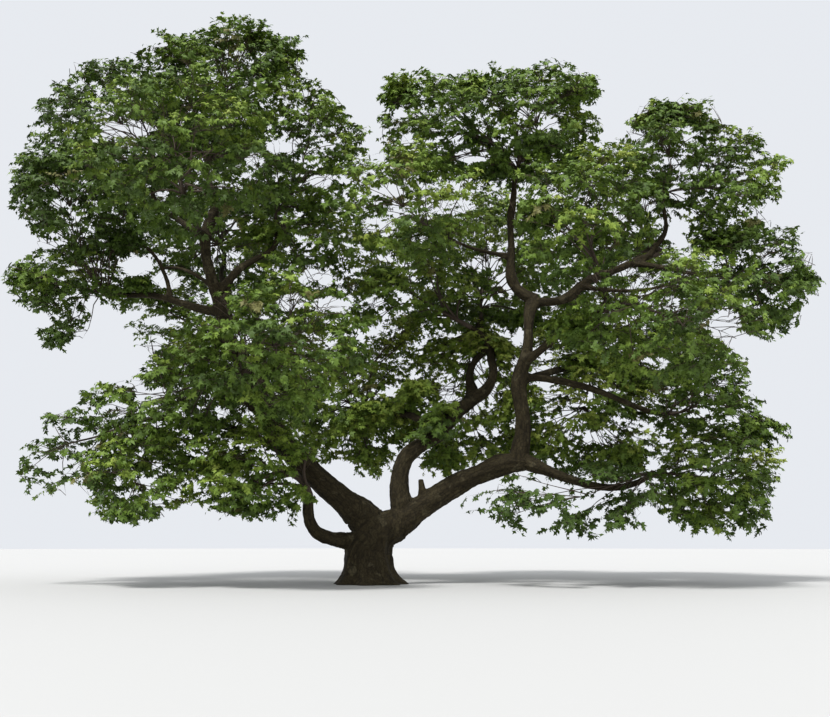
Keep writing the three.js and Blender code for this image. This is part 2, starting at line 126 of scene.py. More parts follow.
# Each mass of foliage: the limb it grows from, its heart, its half width, depth and height, how leafy it
# is and its painted light and shade: how much lighter or darker its leaves are made for the light or shade
# on it
massRows = [
    ("left_top", "left_leader", (-5.6, 0.3, 18.7), (3.2, 3.6, 3.0), 1.1, -0.02),
    ("left_shoulder", "left_high_arm", (-10.0, 1.3, 17.7), (3.6, 3.6, 3.3), 1.1, -0.22),
    ("left_far", "left_arm", (-10.8, -1.3, 13.8), (2.9, 3.4, 2.5), 1.2, -0.22),
    ("left_end", "left_arm", (-11.4, 0.2, 11.0), (2.6, 2.9, 1.5), 1.0, -0.03),
    ("left_inner", "left_inner_arm", (-2.7, 0.8, 16.7), (2.6, 3.6, 3.3), 1.1, 0),
    ("left_hollow", "left_inner_arm", (-3.0, 2.2, 12.6), (3.0, 3.3, 2.3), 0.9, 0),
    ("left_front", "left_front_arm", (-6.2, -5.5, 14.1), (3.6, 3.6, 3.0), 1.0, -0.04),
    ("left_back", "left_back_arm", (-7.0, 6.4, 15.2), (4.2, 4.0, 4.2), 0.95, 0),
    ("left_fore", "left_fore_limb", (-3.0, -5.4, 7.7), (3.4, 3.3, 2.7), 1.2, -0.04),
    ("left_rear", "left_rear_limb", (-6.0, 5.8, 9.6), (4.6, 3.7, 3.6), 1.0, 0),
    ("left_skirt", "left_fore_limb", (-7.0, -2.4, 6.5), (2.9, 3.0, 2.5), 1.1, 0),
    ("left_fringe", "left_skirt_limb", (-11.0, -0.6, 4.9), (2.4, 2.4, 2.3), 0.8, -0.18),
    ("left_low", "left_skirt_limb", (-7.8, -2.6, 3.5), (2.5, 2.5, 1.9), 1.3, 0),
    ("low_left", "low_left_limb", (-3.9, -3.0, 3.9), (2.5, 2.4, 2.1), 1.3, 0.12),
    ("middle_top", "middle_upper", (1.0, 3.6, 12.0), (3.7, 3.8, 3.0), 0.9, 0.18),
    ("middle_rear", "middle_rear", (4.6, 7.2, 13.6), (3.8, 3.8, 3.8), 1.0, 0.12),
    ("middle_low", "middle_low", (-1.2, 5.2, 7.1), (3.5, 3.3, 3.0), 1.2, 0.24),
    ("middle_inside", "middle_rear", (3.8, 4.6, 7.2), (3.7, 2.9, 3.4), 1.4, 0.28),
    ("centre_top", "right_leader", (6.0, 0.2, 17.3), (3.1, 3.6, 2.7), 1.1, 0),
    ("centre_left", "right_leader", (2.3, 0.2, 17.1), (2.6, 3.2, 2.4), 1.1, 0),
    ("centre_cross", "right_cross_arm", (1.3, -2.4, 13.2), (3.1, 3.3, 2.3), 0.9, 0.05),
    ("centre_front", "right_fore_limb", (7.2, -4.7, 12.2), (2.8, 3.3, 2.7), 1.0, 0),
    ("right_peak", "right_arm_peak", (11.1, 0.6, 16.2), (2.2, 3.2, 2.3), 1.0, 0),
    ("right_crest", "right_arm_peak", (13.5, 0.2, 14.7), (2.4, 3.3, 2.5), 1.1, 0),
    ("right_mid", "right_arm", (9.4, 3.4, 14.2), (2.7, 3.0, 2.8), 1.0, 0.05),
    ("right_end", "right_arm_end", (14.6, 0.2, 11.1), (2.5, 3.2, 2.4), 1.1, -0.12),
    ("right_fore", "right_fore_limb", (9.9, -5.1, 8.7), (3.5, 3.2, 2.5), 1.0, 0),
    ("right_rear", "right_rear_limb", (11.2, 6.2, 10.8), (4.0, 3.8, 3.8), 1.0, 0),
    ("right_side", "right_side_arm", (12.4, 0.4, 6.9), (2.2, 3.4, 2.6), 1.2, 0),
    ("right_inside", "right_rear_limb", (8.2, 3.6, 6.8), (3.7, 3.0, 3.5), 1.4, 0.18),
    ("right_low", "right_low_arm", (12.4, -0.6, 3.6), (2.5, 3.2, 2.2), 1.2, 0),
    ("right_hang", "right_low_arm", (7.0, -2.4, 2.9), (3.8, 2.5, 1.5), 0.8, -0.36),
]

# Tufts that stand out of a mass: place, radius and painted light and shade, how much lighter or darker
# their leaves are made for the light or shade on them
tufts = {
    "left_top": [(-8.1, 0.2, 20.4, 1.1, 0), (-3.1, 0.2, 20.1, 1.0, 0), (-4.5, 0.2, 20.9, 0.8, 0)],
    "left_far": [(-11.6, -3.0, 14.6, 1.0, 0), (-9.2, -0.8, 12.5, 0.9, 0)],
    "left_end": [(-11.4, -0.4, 8.9, 1.2, 0), (-8.7, -0.2, 10.9, 0.9, 0), (-13.1, 0.2, 11.3, 0.7, 0)],
    "left_hollow": [(-4.5, 0.8, 13.3, 0.8, 0)],
    "left_rear": [(-9.3, 3.5, 11.6, 1.2, 0)],
    "low_left": [(-5.0, -3.0, 4.2, 0.9, 0)],
    "middle_top": [(-0.1, 2.0, 11.7, 1.0, 0)],
    "middle_rear": [(6.3, 5.4, 10.8, 1.1, 0)],
    "middle_low": [
        (-0.6, 3.4, 4.3, 0.9, 0), (0.9, 2.2, 6.5, 0.9, 0), (-0.3, 2.6, 6.6, 0.9, 0),
        (-0.9, 2.6, 6.0, 0.8, 0), (1.0, 3.0, 9.8, 0.9, 0.1),
    ],
    "middle_inside": [
        (2.2, -0.3, 5.55, 1.0, -0.24), (2.5, 0.2, 6.1, 0.9, -0.12), (3.0, 0.6, 6.3, 0.8, -0.12),
        (2.6, 2.6, 4.5, 0.9, 0), (1.5, 1.5, 7.1, 0.8, 0), (4.6, 3.0, 9.1, 0.8, 0),
        (4.3, 3.6, 9.3, 0.9, 0),
    ],
    "centre_top": [
        (8.0, 0.2, 18.8, 0.9, 0), (4.4, -0.4, 15.4, 1.0, 0), (3.6, 0.2, 18.9, 0.7, 0),
        (6.2, -0.5, 16.4, 0.7, 0),
    ],
    "centre_left": [(0.9, 0.2, 18.7, 0.9, 0)],
    "centre_front": [(5.9, -2.5, 13.1, 0.7, 0)],
    "right_peak": [(10.3, 0.5, 17.8, 0.9, 0), (11.6, 0.4, 17.8, 0.7, 0), (10.6, 0.6, 14.9, 0.7, 0)],
    "right_crest": [(13.0, 0.2, 17.8, 0.95, 0)],
    "right_end": [(16.1, 0.1, 11.2, 0.7, 0), (12.5, -0.2, 12.7, 0.9, 0), (13.4, -0.2, 12.6, 0.8, 0)],
    "right_fore": [(6.9, -3.6, 8.7, 1.0, -0.05)],
    "right_rear": [(7.3, 5.0, 10.4, 1.2, 0), (12.3, 4.0, 10.2, 0.9, 0)],
    "right_side": [(14.4, 0.2, 5.6, 1.1, 0)],
    "right_inside": [(8.2, 3.0, 8.4, 0.9, -0.05), (9.7, 1.6, 4.7, 0.8, 0)],
}

# The crown's leaves and twigs are kept in these parts
crownParts = {
    "left_high": ["left_top", "left_shoulder", "left_inner"],
    "left_middle": ["left_far", "left_end", "left_front", "left_hollow"],
    "left_back": ["left_back", "left_rear"],
    "left_low": ["left_fore", "left_skirt", "left_fringe", "left_low", "low_left"],
    "middle": ["middle_top", "middle_rear", "middle_low", "middle_inside"],
    "centre": ["centre_top", "centre_left", "centre_cross", "centre_front"],
    "right_high": ["right_peak", "right_crest", "right_mid", "right_end"],
    "right_low": ["right_fore", "right_rear", "right_side", "right_inside", "right_low", "right_hang"],
}

# The crown's edge as the camera sees it, on the upright plane through the bole: right and up
crownEdge = [
    (-13.1, 3.1), (-12.7, 4.6), (-12.4, 5.4), (-11.9, 6.2), (-11.3, 5.9), (-10.8, 6.7), (-10.4, 7.2),
    (-9.1, 7.3), (-8.6, 7.7), (-7.9, 8.4), (-8.2, 8.8), (-9.2, 8.8), (-8.1, 9.3), (-9.8, 9.7),
    (-10.2, 9.6), (-11.1, 9.3), (-11.3, 8.3), (-12.5, 8.6), (-12.3, 9.6), (-13.6, 10.7), (-13.9, 11.3),
    (-13.4, 11.8), (-12.5, 12.3), (-11.3, 12.4), (-11.3, 12.75), (-12.7, 12.95), (-13.1, 13.5),
    (-13.7, 14.2), (-13.6, 15.9), (-13.1, 16.6), (-13.1, 17.9), (-12.8, 18.3), (-12.1, 18.3),
    (-12.4, 19.2), (-11.8, 19.0), (-10.8, 19.8), (-9.7, 19.8), (-9.1, 20.3), (-7.9, 20.4), (-8.8, 21.4),
    (-7.5, 20.7), (-7.3, 21.2), (-6.8, 20.9), (-6.0, 21.6), (-5.2, 21.8), (-4.2, 21.5), (-3.9, 20.8),
    (-2.6, 20.8), (-3.0, 20.4), (-2.6, 20.0), (-3.1, 19.7), (-2.8, 19.3), (-1.7, 18.6), (-0.95, 17.5),
    (-0.2, 17.0), (-0.4, 16.5), (0.2, 15.6), (0.7, 15.9), (0.1, 16.5), (0.6, 17.0), (0.0, 17.5),
    (0.6, 18.0), (0.1, 18.3), (0.6, 18.6), (0.0, 19.1), (0.0, 19.6), (1.8, 19.6), (2.4, 19.2),
    (4.3, 19.4), (4.2, 19.9), (4.9, 19.5), (6.0, 19.5), (6.3, 19.8), (7.4, 19.8), (8.7, 19.1),
    (8.8, 18.3), (7.9, 18.0), (8.6, 17.5), (8.8, 16.7), (10.2, 16.5), (10.5, 16.9), (9.7, 17.3),
    (10.6, 17.7), (10.6, 18.3), (11.3, 18.3), (11.8, 17.9), (12.1, 18.4), (13.3, 18.8), (12.7, 17.5),
    (13.4, 17.2), (14.3, 17.1), (15.1, 16.6), (14.8, 16.0), (16.0, 15.8), (15.4, 15.3), (15.5, 14.2),
    (14.8, 14.3), (14.5, 13.7), (14.7, 13.1), (15.2, 13.0), (15.5, 13.4), (16.0, 13.2), (16.1, 12.8),
    (16.1, 11.8), (16.9, 11.1), (16.1, 10.6), (15.9, 9.6), (15.1, 9.0), (14.6, 8.8), (13.9, 9.3),
    (13.6, 10.1), (12.8, 10.2), (12.3, 9.3), (12.6, 8.9), (14.0, 8.0), (13.9, 7.3), (13.8, 6.6),
    (14.6, 6.7), (14.5, 5.9), (15.4, 5.7), (15.2, 4.5), (14.7, 3.8), (14.3, 1.6), (11.3, 1.5),
    (10.6, 2.4), (9.7, 1.9), (8.5, 2.0), (7.8, 1.4), (6.8, 1.9), (6.1, 1.4), (4.1, 2.6), (2.5, 2.4),
    (2.9, 3.1), (5.1, 4.3), (3.9, 4.3), (3.3, 4.0), (2.7, 3.6), (2.2, 3.6), (1.8, 4.1), (1.1, 2.8),
    (0.0, 2.8), (-1.1, 3.0), (-2.1, 4.1), (-1.9, 2.5), (-2.5, 1.9), (-3.6, 1.7), (-3.9, 2.3),
    (-5.6, 2.5), (-6.6, 3.0), (-7.4, 2.6), (-8.5, 2.1), (-10.3, 2.5), (-10.0, 3.1), (-11.4, 3.2),
]

# Places where the sky shows through the crown, on the same plane: right, up, half width, half height
# and how open
skyGaps = [
    (-12.2, 9.6, 0.8, 0.35, 0.3), (-12.0, 4.6, 0.33, 0.4, 0.4), (-11.9, 12.1, 0.5, 0.35, 0.4),
    (-11.2, 4.0, 1.02, 0.47, 0.4), (-10.8, 3.3, 0.73, 0.29, 0.8), (-10.7, 10.2, 1.34, 0.45, 0.45),
    (-10.2, 16.6, 0.55, 0.35, 0.3), (-9.7, 9.6, 0.59, 0.37, 0.8), (-9.5, 6.2, 0.55, 0.4, 0.45),
    (-9.4, 17.1, 1.15, 0.4, 0.95), (-8.9, 7.2, 0.6, 0.3, 0.3), (-8.8, 11.7, 0.65, 0.42, 0.9),
    (-8.0, 14.4, 0.27, 0.27, 0.8), (-7.9, 6.9, 0.4, 0.22, 0.8), (-7.9, 8.8, 0.5, 0.35, 0.6),
    (-7.7, 11.2, 0.62, 0.38, 0.85), (-6.2, 10.4, 0.55, 0.35, 0.6), (-6.0, 12.1, 0.37, 0.52, 0.5),
    (-5.5, 6.2, 0.33, 0.26, 0.8), (-5.1, 11.8, 0.45, 0.75, 0.5), (-4.8, 8.9, 0.35, 0.3, 0.35),
    (-4.6, 6.3, 0.37, 0.29, 0.6), (-4.5, 15.8, 0.46, 0.38, 0.95), (-3.5, 16.3, 0.57, 0.34, 0.8),
    (-3.0, 10.3, 0.6, 0.38, 0.85), (-2.1, 11.2, 0.71, 0.45, 0.9), (-1.9, 15.0, 0.61, 0.3, 0.85),
    (-1.6, 10.2, 0.74, 0.34, 0.85), (-1.3, 2.5, 0.51, 0.36, 0.9), (-1.0, 3.7, 1.1, 0.8, 0.8),
    (-1.0, 12.6, 0.68, 0.45, 0.25), (-0.9, 11.0, 0.5, 0.35, 0.45), (0.0, 15.0, 0.61, 0.45, 0.25),
    (0.1, 10.2, 0.55, 0.35, 0.6), (0.2, 13.2, 0.68, 0.38, 0.45), (0.4, 14.0, 0.6, 0.38, 0.25),
    (0.6, 9.2, 0.7, 0.3, 0.6), (1.0, 17.6, 0.35, 0.45, 0.55), (1.3, 16.7, 0.3, 0.35, 0.5),
    (1.6, 3.8, 0.29, 0.8, 0.95), (1.8, 12.8, 0.45, 0.26, 0.6), (1.9, 14.6, 0.53, 0.34, 0.2),
    (2.2, 13.8, 0.5, 0.4, 0.35), (2.3, 3.8, 0.4, 0.36, 0.35), (2.9, 6.9, 0.44, 0.4, 0.7),
    (3.0, 14.0, 0.98, 0.34, 0.75), (3.6, 6.1, 0.33, 0.22, 0.8), (3.7, 4.8, 0.6, 0.22, 0.4),
    (3.8, 16.0, 0.72, 0.34, 0.85), (3.9, 7.8, 0.37, 0.26, 0.95), (4.1, 7.1, 0.59, 0.37, 0.85),
    (4.2, 11.8, 0.67, 0.22, 0.9), (4.4, 3.4, 0.58, 0.36, 0.6), (5.3, 8.0, 0.18, 0.37, 0.9),
    (5.4, 15.7, 0.3, 0.38, 0.7), (5.8, 3.6, 0.65, 0.3, 0.6), (5.8, 17.7, 0.31, 0.27, 0.7),
    (6.5, 7.8, 0.41, 0.18, 0.9), (6.6, 7.0, 0.45, 0.5, 0.45), (6.8, 17.3, 0.31, 0.31, 0.9),
    (7.4, 3.6, 1.16, 0.33, 0.25), (7.7, 5.2, 1.4, 0.6, 0.18), (9.5, 11.6, 0.49, 0.34, 0.9),
    (9.6, 5.5, 0.8, 0.45, 0.55), (10.0, 2.5, 0.51, 0.33, 0.95), (10.4, 11.3, 0.52, 0.22, 0.9),
    (10.4, 14.1, 0.34, 0.38, 0.55), (10.5, 8.0, 0.63, 0.26, 0.7), (11.4, 6.2, 0.59, 0.29, 0.4),
    (11.5, 13.1, 0.38, 0.45, 0.6), (11.5, 14.5, 0.4, 0.3, 0.8), (11.8, 13.75, 0.65, 0.24, 0.8),
    (15.0, 12.1, 0.45, 0.45, 0.5),
]

# Stretches of limb that show through the leaves in front of them, and how bare they are
bareStretches = [
    ("left_bough", 0.0, 0.36, 0.97),
    ("right_bough", 0.0, 1.0, 0.97),
    ("middle_bough", 0.0, 0.36, 0.97),
    ("middle_bough", 0.72, 1.0, 0.9),
    ("middle_upper", 0.0, 0.6, 0.9),
    ("middle_rear", 0.0, 0.6, 0.9),
    ("low_left_limb", 0.0, 0.7, 0.95),
    ("broken_stub", 0.0, 1.0, 0.97),
    ("left_leader", 0.28, 0.88, 0.85),
    ("left_arm", 0.0, 0.95, 0.9),
    ("left_high_arm", 0.0, 0.5, 0.8),
    ("left_inner_arm", 0.05, 0.5, 0.8),
    ("left_loop_bough", 0.0, 0.8, 0.9),
    ("left_cross_bough", 0.0, 1.0, 0.9),
    ("right_upright", 0.0, 1.0, 0.9),
    ("right_low_arm", 0.0, 0.95, 0.95),
    ("right_side_arm", 0.0, 0.85, 0.9),
    ("right_leader", 0.0, 0.9, 0.85),
    ("right_cross_arm", 0.2, 1.0, 0.6),
    ("right_arm", 0.0, 1.0, 0.9),
    ("right_arm_peak", 0.0, 0.8, 0.85),
    ("right_arm_end", 0.1, 0.8, 0.8),
    ("right_level_bough", 0.0, 0.9, 0.8),
]

# A full leaf has five points and a young one three. Its stalk is at the start: across, along and up,
# for a length of one.
leafKinds = {
    "full": {
        "length": 0.225,
        "shape": [
            (0.0, 0.0, 0.0), (0.42, 0.10, -0.07), (0.54, 0.60, -0.12), (0.17, 0.47, 0.02),
            (0.0, 1.0, -0.14), (-0.17, 0.47, 0.02), (-0.54, 0.60, -0.12), (-0.42, 0.10, -0.07),
        ],
        "faces": [(0, 1, 3), (1, 2, 3), (0, 3, 5), (3, 4, 5), (0, 5, 7), (5, 6, 7)],
    },
    "young": {
        "length": 0.195,
        "shape": [
            (0.0, 0.0, 0.0), (0.52, 0.46, -0.10), (0.18, 0.48, 0.02),
            (0.0, 1.0, -0.13), (-0.18, 0.48, 0.02), (-0.52, 0.46, -0.10),
        ],
        "faces": [(0, 1, 2), (0, 2, 4), (2, 3, 4), (0, 4, 5)],
    },
}

# Sprays of leaves take one of these greens, dark to light, and now and then the olive at the end. The
# greens stand for random tone and also for painted light and shade.
leafTints = [
    (0.047, 0.084, 0.010),
    (0.070, 0.120, 0.014),
    (0.100, 0.164, 0.019),
    (0.142, 0.214, 0.026),
    (0.197, 0.272, 0.036),
    (0.265, 0.325, 0.052),
    (0.150, 0.145, 0.045),
]

twigColour = (0.075, 0.055, 0.040)

# Limbs in the crown aren't quite straight: waves that bend the wood and the leaves on it together
sway = {
    "seed": 11,
    "waves": 6,
    "reach": 0.11,
    "length": 3.0,
    "turnRange": (0.5, 1.3),
    "calmBelow": 3.0,
    "fullAbove": 7.0,
}
swayRandom = np.random.default_rng(sway["seed"])
swayTurns = swayRandom.normal(size=(sway["waves"], 3))
swayTurns *= 2 * math.pi / sway["length"] / np.linalg.norm(swayTurns, axis=1, keepdims=True)
swayTurns *= swayRandom.uniform(*sway["turnRange"], size=(sway["waves"], 1))
swayPushes = swayRandom.normal(size=(sway["waves"], 3))
swayPushes /= np.linalg.norm(swayPushes, axis=1, keepdims=True)
swayStarts = swayRandom.uniform(0, 2 * math.pi, sway["waves"])


def swayed(points):
    points = np.asarray(points, float)
    push = np.sin(points @ swayTurns.T + swayStarts) @ swayPushes
    calm, full = sway["calmBelow"], sway["fullAbove"]
    fade = np.clip((points[..., 2:3] - calm) / (full - calm), 0, 1)
    return points + push * fade * sway["reach"]


def unit(vectors):
    return vectors / np.maximum(np.linalg.norm(vectors, axis=-1, keepdims=True), 1e-9)


def direction(headingAndRise):
    heading, rise = np.radians(headingAndRise)
    level = math.cos(rise)
    return np.array([math.cos(heading) * level, math.sin(heading) * level, math.sin(rise)])


# Points on Bezier curves: control is (curves, points, 3), and shares is (stations) for all of the curves
# or (curves, stations)
def onCurves(control, shares):
    shares = np.broadcast_to(shares, (len(control), np.shape(shares)[-1]))[:, :, None, None]
    level = np.asarray(control, float)[:, None]
    while level.shape[2] > 1:
        level = level[:, :, :-1] * (1 - shares) + level[:, :, 1:] * shares
    return level[:, :, 0]


def limbLine(name, shares):
    return onCurves(limbs[name]["control"][None], shares)[0]


def boleAt(height):
    stations = bole["stations"]
    above = next((i for i, s in enumerate(stations) if s[0] >= height and i > 0), len(stations) - 1)
    low, high = stations[above - 1], stations[above]
    share = np.clip((height - low[0]) / (high[0] - low[0]), 0, 1)
    share = share * share * (3 - 2 * share)
    return low[1] + (high[1] - low[1]) * share, low[2] + (high[2] - low[2]) * share


# Each limb's control points, from its parent's centre line to its tip
limbs = {}
boleLevels = [station[0] for station in bole["stations"]]
for name, on, at, tip, leave, arrive, thick, *ownPull in limbRows + boughRows:
    if on == "trunk":
        height = np.interp(at * (len(boleLevels) - 1), range(len(boleLevels)), boleLevels)
        foot = np.array([boleAt(height)[0], 0.0, height])
        sunk = bole["stations"][2][2]
    else:
        foot = limbLine(on, [at])[0]
        parentFoot, parentTip = limbs[on]["thick"]
        sunk = parentFoot * (1 - at) + parentTip * at
    tip = np.array(tip)
    pull = np.linalg.norm(tip - foot) * (ownPull[0] if ownPull else limbPull)
    control = np.array([foot, foot + direction(leave) * pull, tip - direction(arrive) * pull, tip])
    limbs[name] = {"control": control, "thick": thick, "arrive": arrive, "sunk": sunk}

mainBoughs = ["left_bough", "right_bough", "middle_bough", "low_left_limb", "broken_stub"]
otherLimbs = [row[0] for row in limbRows if row[0] not in mainBoughs]
finerBoughs = [row[0] for row in boughRows]


def limbRadius(name, shares):
    foot, tip = limbs[name]["thick"]
    return foot + (tip - foot) * np.asarray(shares) ** limbTaper


# Flat colours and one roughness, for what is made of many small faces
def plainFinish(name, colour, roughness):
    material = bpy.data.materials.new(name)
    material.use_nodes = True
    shader = material.node_tree.nodes["Principled BSDF"]
    shader.inputs["Base Color"].default_value = (*colour, 1)
    shader.inputs["Roughness"].default_value = roughness
    shader.inputs["Specular IOR Level"].default_value = 0.3
    material.diffuse_color = (*colour, 1)
    return material


def deselectAll():
    bpy.ops.object.select_all(action="DESELECT")


def applyModifiers(piece):
    for modifier in list(piece.modifiers):
        bpy.ops.object.modifier_apply(modifier=modifier.name)


barkForm = {
    "trunkVoxel": 0.035,
    "limbVoxel": 0.038,
    "blendFactor": 0.5,
    "blendRounds": 8,
    "collar": 0.35,
    "collarLength": 1.3,
    # Bends along the wood: turn per metre, start and share. Flutes round it: number, how far the bends
    # shift them, start and share.
    "bends": [(1.3, 0.0, 1.0), (2.9, 1.7, 0.6)],
    "flutes": [(5, 1.0, 0.0, 0.6), (11, -1.4, 0.8, 0.4)],
    "fluteDepth": 0.05,
    "fluteOnLimbs": 0.8,  # of the depth on the bole
    "lumpDepth": 0.05,
    "lumpScale": 1.4,
    "lumpRoughness": 0.8,
    "scaleDepth": 0.012,
    "scaleScale": (7.0, 7.0, 3.5),
    "scaleRoughness": 0.7,
    # Relief is full from this radius or height up, and nowhere less than the share beside it
    "fullFlutes": (0.8, 0.12),
    "fullLumps": (0.5, 0.15),
    "fullAbove": (0.12, 0.15),
    "groundBelow": 0.012,
    # the bark's own colours and patch, darkened further by painted shade for the crown's shade on the wood
    "colours": [(0.016, 0.0115, 0.0046), (0.033, 0.025, 0.0108), (0.054, 0.043, 0.020)],
    "patch": (0.098, 0.083, 0.046),
}

# How points are shared out among limbs: stations on each, the bole's radius, a way to measure turns
# from, how much a distance along counts, and the step that keeps the streaks of limbs apart
sharingOut = {
    "stations": 41,
    "boleRadius": 0.85,
    "turnsFrom": (0.31, 0.9, 0.3),
    "alongCounts": 0.25,
    "limbStep": 7.0,
}


# The bole: a circle drawn up ring by ring, then lobed at the foot
def makeBole():
    deselectAll()
    top = bole["stations"][-1][0]
    heights = top * np.linspace(0, 1, bole["rings"]) ** bole["ringCrowding"]
    middle, radius = boleAt(0)
    bpy.ops.mesh.primitive_circle_add(
        vertices=bole["sides"], radius=radius, fill_type="NGON", location=(middle, 0, 0)
    )
    piece = bpy.context.object
    bpy.ops.object.mode_set(mode="EDIT")
    bpy.ops.mesh.select_all(action="SELECT")
    for low, high in zip(heights[:-1], heights[1:]):
        (lowMiddle, lowRadius), (highMiddle, highRadius) = boleAt(low), boleAt(high)
        rise = (highMiddle - lowMiddle, 0, high - low)
        bpy.ops.mesh.extrude_region_move(TRANSFORM_OT_translate={"value": rise})
        grow = highRadius / lowRadius
        bpy.ops.transform.resize(value=(grow, grow, 1), center_override=(highMiddle, 0, high))
    bpy.ops.mesh.select_all(action="SELECT")
    bpy.ops.mesh.normals_make_consistent(inside=False)
    bpy.ops.object.mode_set(mode="OBJECT")
    bpy.ops.object.transform_apply(location=True, rotation=True, scale=True)
    for vertex in piece.data.vertices:
        x, y, z = vertex.co
        middle, radius = boleAt(z)
        angle = math.atan2(x - middle, -y)
        flare = math.exp(-z / bole["flareHeight"])
        wave = math.cos(bole["buttresses"] * angle + bole["buttressTurn"])
        lobes = 1 + bole["buttressDepth"] * wave * (bole["buttressAbove"] + flare)
        domed = max(0.0, (z - top + bole["domeHeight"]) / bole["domeHeight"])
        narrowed = math.sqrt(1 - bole["domeDepth"] * domed**2)
        grow = (radius + bole["flareRadius"] * flare) * lobes * narrowed / radius
        vertex.co = (middle + (x - middle) * grow, y * grow, z)
    return piece


# A limb: one Bezier stretch with a round bevel, thickened to a collar where it leaves its parent
def makeLimb(name):
    deselectAll()
    limb = limbs[name]
    foot, footHandle, tipHandle, tip = limb["control"]
    bpy.ops.curve.primitive_bezier_curve_add(location=(0, 0, 0))
    piece = bpy.context.object
    piece.name = name + "_form"
    piece.data.dimensions = "3D"
    first, last = piece.data.splines[0].bezier_points
    for point in (first, last):
        point.handle_left_type = point.handle_right_type = "FREE"
    first.co, first.handle_right, first.handle_left = foot, footHandle, foot * 2 - footHandle
    last.co, last.handle_left, last.handle_right = tip, tipHandle, tip * 2 - tipHandle
    first.radius, last.radius = limb["thick"]
    bpy.ops.object.mode_set(mode="EDIT")
    bpy.ops.curve.select_all(action="SELECT")
    bpy.ops.curve.subdivide(number_cuts=11)
    bpy.ops.object.mode_set(mode="OBJECT")
    points = piece.data.splines[0].bezier_points
    walked = 0.0
    for i, point in enumerate(points):
        if i:
            walked += (point.co - points[i - 1].co).length
        clear = max(0.0, walked - limb["sunk"])
        thick = float(limbRadius(name, i / (len(points) - 1)))
        swell = 1 + barkForm["collar"] * math.exp(-clear / (barkForm["collarLength"] * thick))
        point.radius = thick * swell
    piece.data.bevel_depth = 1
    piece.data.bevel_resolution = 5
    piece.data.resolution_u = 6
    piece.data.use_fill_caps = True
    bpy.ops.object.convert(target="MESH")
    return piece


def joinForms(forms, name):
    deselectAll()
    for form in forms:
        form.select_set(True)
    bpy.context.view_layer.objects.active = forms[0]
    bpy.ops.object.join()
    piece = bpy.context.object
    piece.name = name
    piece.data.name = name
    return piece


# Where points lie on the limb each belongs to: across it both ways and along it, in metres, and how
# thick that limb is
def placeOnLimbs(points, names):
    count = sharingOut["stations"]
    shares = np.linspace(0, 1, count)
    best = np.full(len(points), 1e9)
    place = np.zeros((len(points), 3))
    thick = np.ones(len(points))
    onBole = np.zeros(len(points), bool)
    for i, name in enumerate(names):
        if name == "trunk":
            heights = np.linspace(0, boleLevels[-1], count)
            line = np.array([[boleAt(height)[0], 0, height] for height in heights])
            radii = np.full(count, sharingOut["boleRadius"])
        else:
            line, radii = limbLine(name, shares), limbRadius(name, shares)
        along = unit(np.gradient(line, axis=0))
        walked = np.concatenate([[0], np.cumsum(np.linalg.norm(np.diff(line, axis=0), axis=1))])
        across = unit(np.cross(along, sharingOut["turnsFrom"]))
        other = np.cross(along, across)
        nearest = np.argmin(((points[:, None, :] - line[None]) ** 2).sum(2), axis=1)
        away = points - line[nearest]
        a, b, c = ((away * way[nearest]).sum(1) for way in (across, other, along))
        score = np.sqrt(a * a + b * b + c * c * sharingOut["alongCounts"]) / radii[nearest]
        mine = score < best
        best[mine] = score[mine]
        far = walked[nearest] + c + i * sharingOut["limbStep"]
        place[mine] = np.stack([a, b, far], axis=1)[mine]
        thick[mine] = radii[nearest][mine]
        onBole[mine] = name == "trunk"
    return place, thick, onBole


def fullness(values, full, least):
    return np.clip(values / full, least, 1)


# Flutes along the wood, lumps and small scales, as real relief
def carveBark(piece, names):
    mesh = piece.data
    count = len(mesh.vertices)
    points = np.zeros(count * 3)
    normals = np.zeros(count * 3)
    mesh.vertices.foreach_get("co", points)
    mesh.vertex_normals.foreach_get("vector", normals)
    points, normals = points.reshape(-1, 3), normals.reshape(-1, 3)
    place, thick, onBole = placeOnLimbs(points, names)
    angle = np.arctan2(place[:, 1], place[:, 0])
    bend = sum(np.sin(place[:, 2] * turn + start) * share for turn, start, share in barkForm["bends"])
    flutes = sum(
        np.cos(angle * number + bend * shift + start) * share
        for number, shift, start, share in barkForm["flutes"]
    )
    depth = barkForm["fluteDepth"] * fullness(thick, *barkForm["fullFlutes"])
    push = flutes * (depth * np.where(onBole, 1.0, barkForm["fluteOnLimbs"]))
    lump = barkForm["lumpDepth"] * fullness(thick, *barkForm["fullLumps"])
    for i, point in enumerate(points):
        rough = noise.fractal(point * barkForm["lumpScale"], barkForm["lumpRoughness"], 2.0, 3)
        fine = noise.fractal(point * barkForm["scaleScale"], barkForm["scaleRoughness"], 2.0, 3)
        push[i] += lump[i] * rough + barkForm["scaleDepth"] * fine
    push *= fullness(points[:, 2], *barkForm["fullAbove"])
    points = swayed(points + normals * push[:, None])
    points[:, 2] = np.where(points[:, 2] < barkForm["groundBelow"], 0.0, points[:, 2])
    mesh.vertices.foreach_set("co", points.ravel())
    mesh.update()
    grain = mesh.attributes.new("grainPlace", "FLOAT_VECTOR", "POINT")
    grain.data.foreach_set("vector", place.astype(np.float32).ravel())


# A shader node: an input that is given a socket is linked to it, and any other is set
def addNode(tree, kind, inputs, **settings):
    node = tree.nodes.new("ShaderNode" + kind)
    for name, value in settings.items():
        setattr(node, name, value)
    for name, value in inputs.items():
        if isinstance(value, bpy.types.NodeSocket):
            tree.links.new(value, node.inputs[name])
        else:
            node.inputs[name].default_value = value
    return node
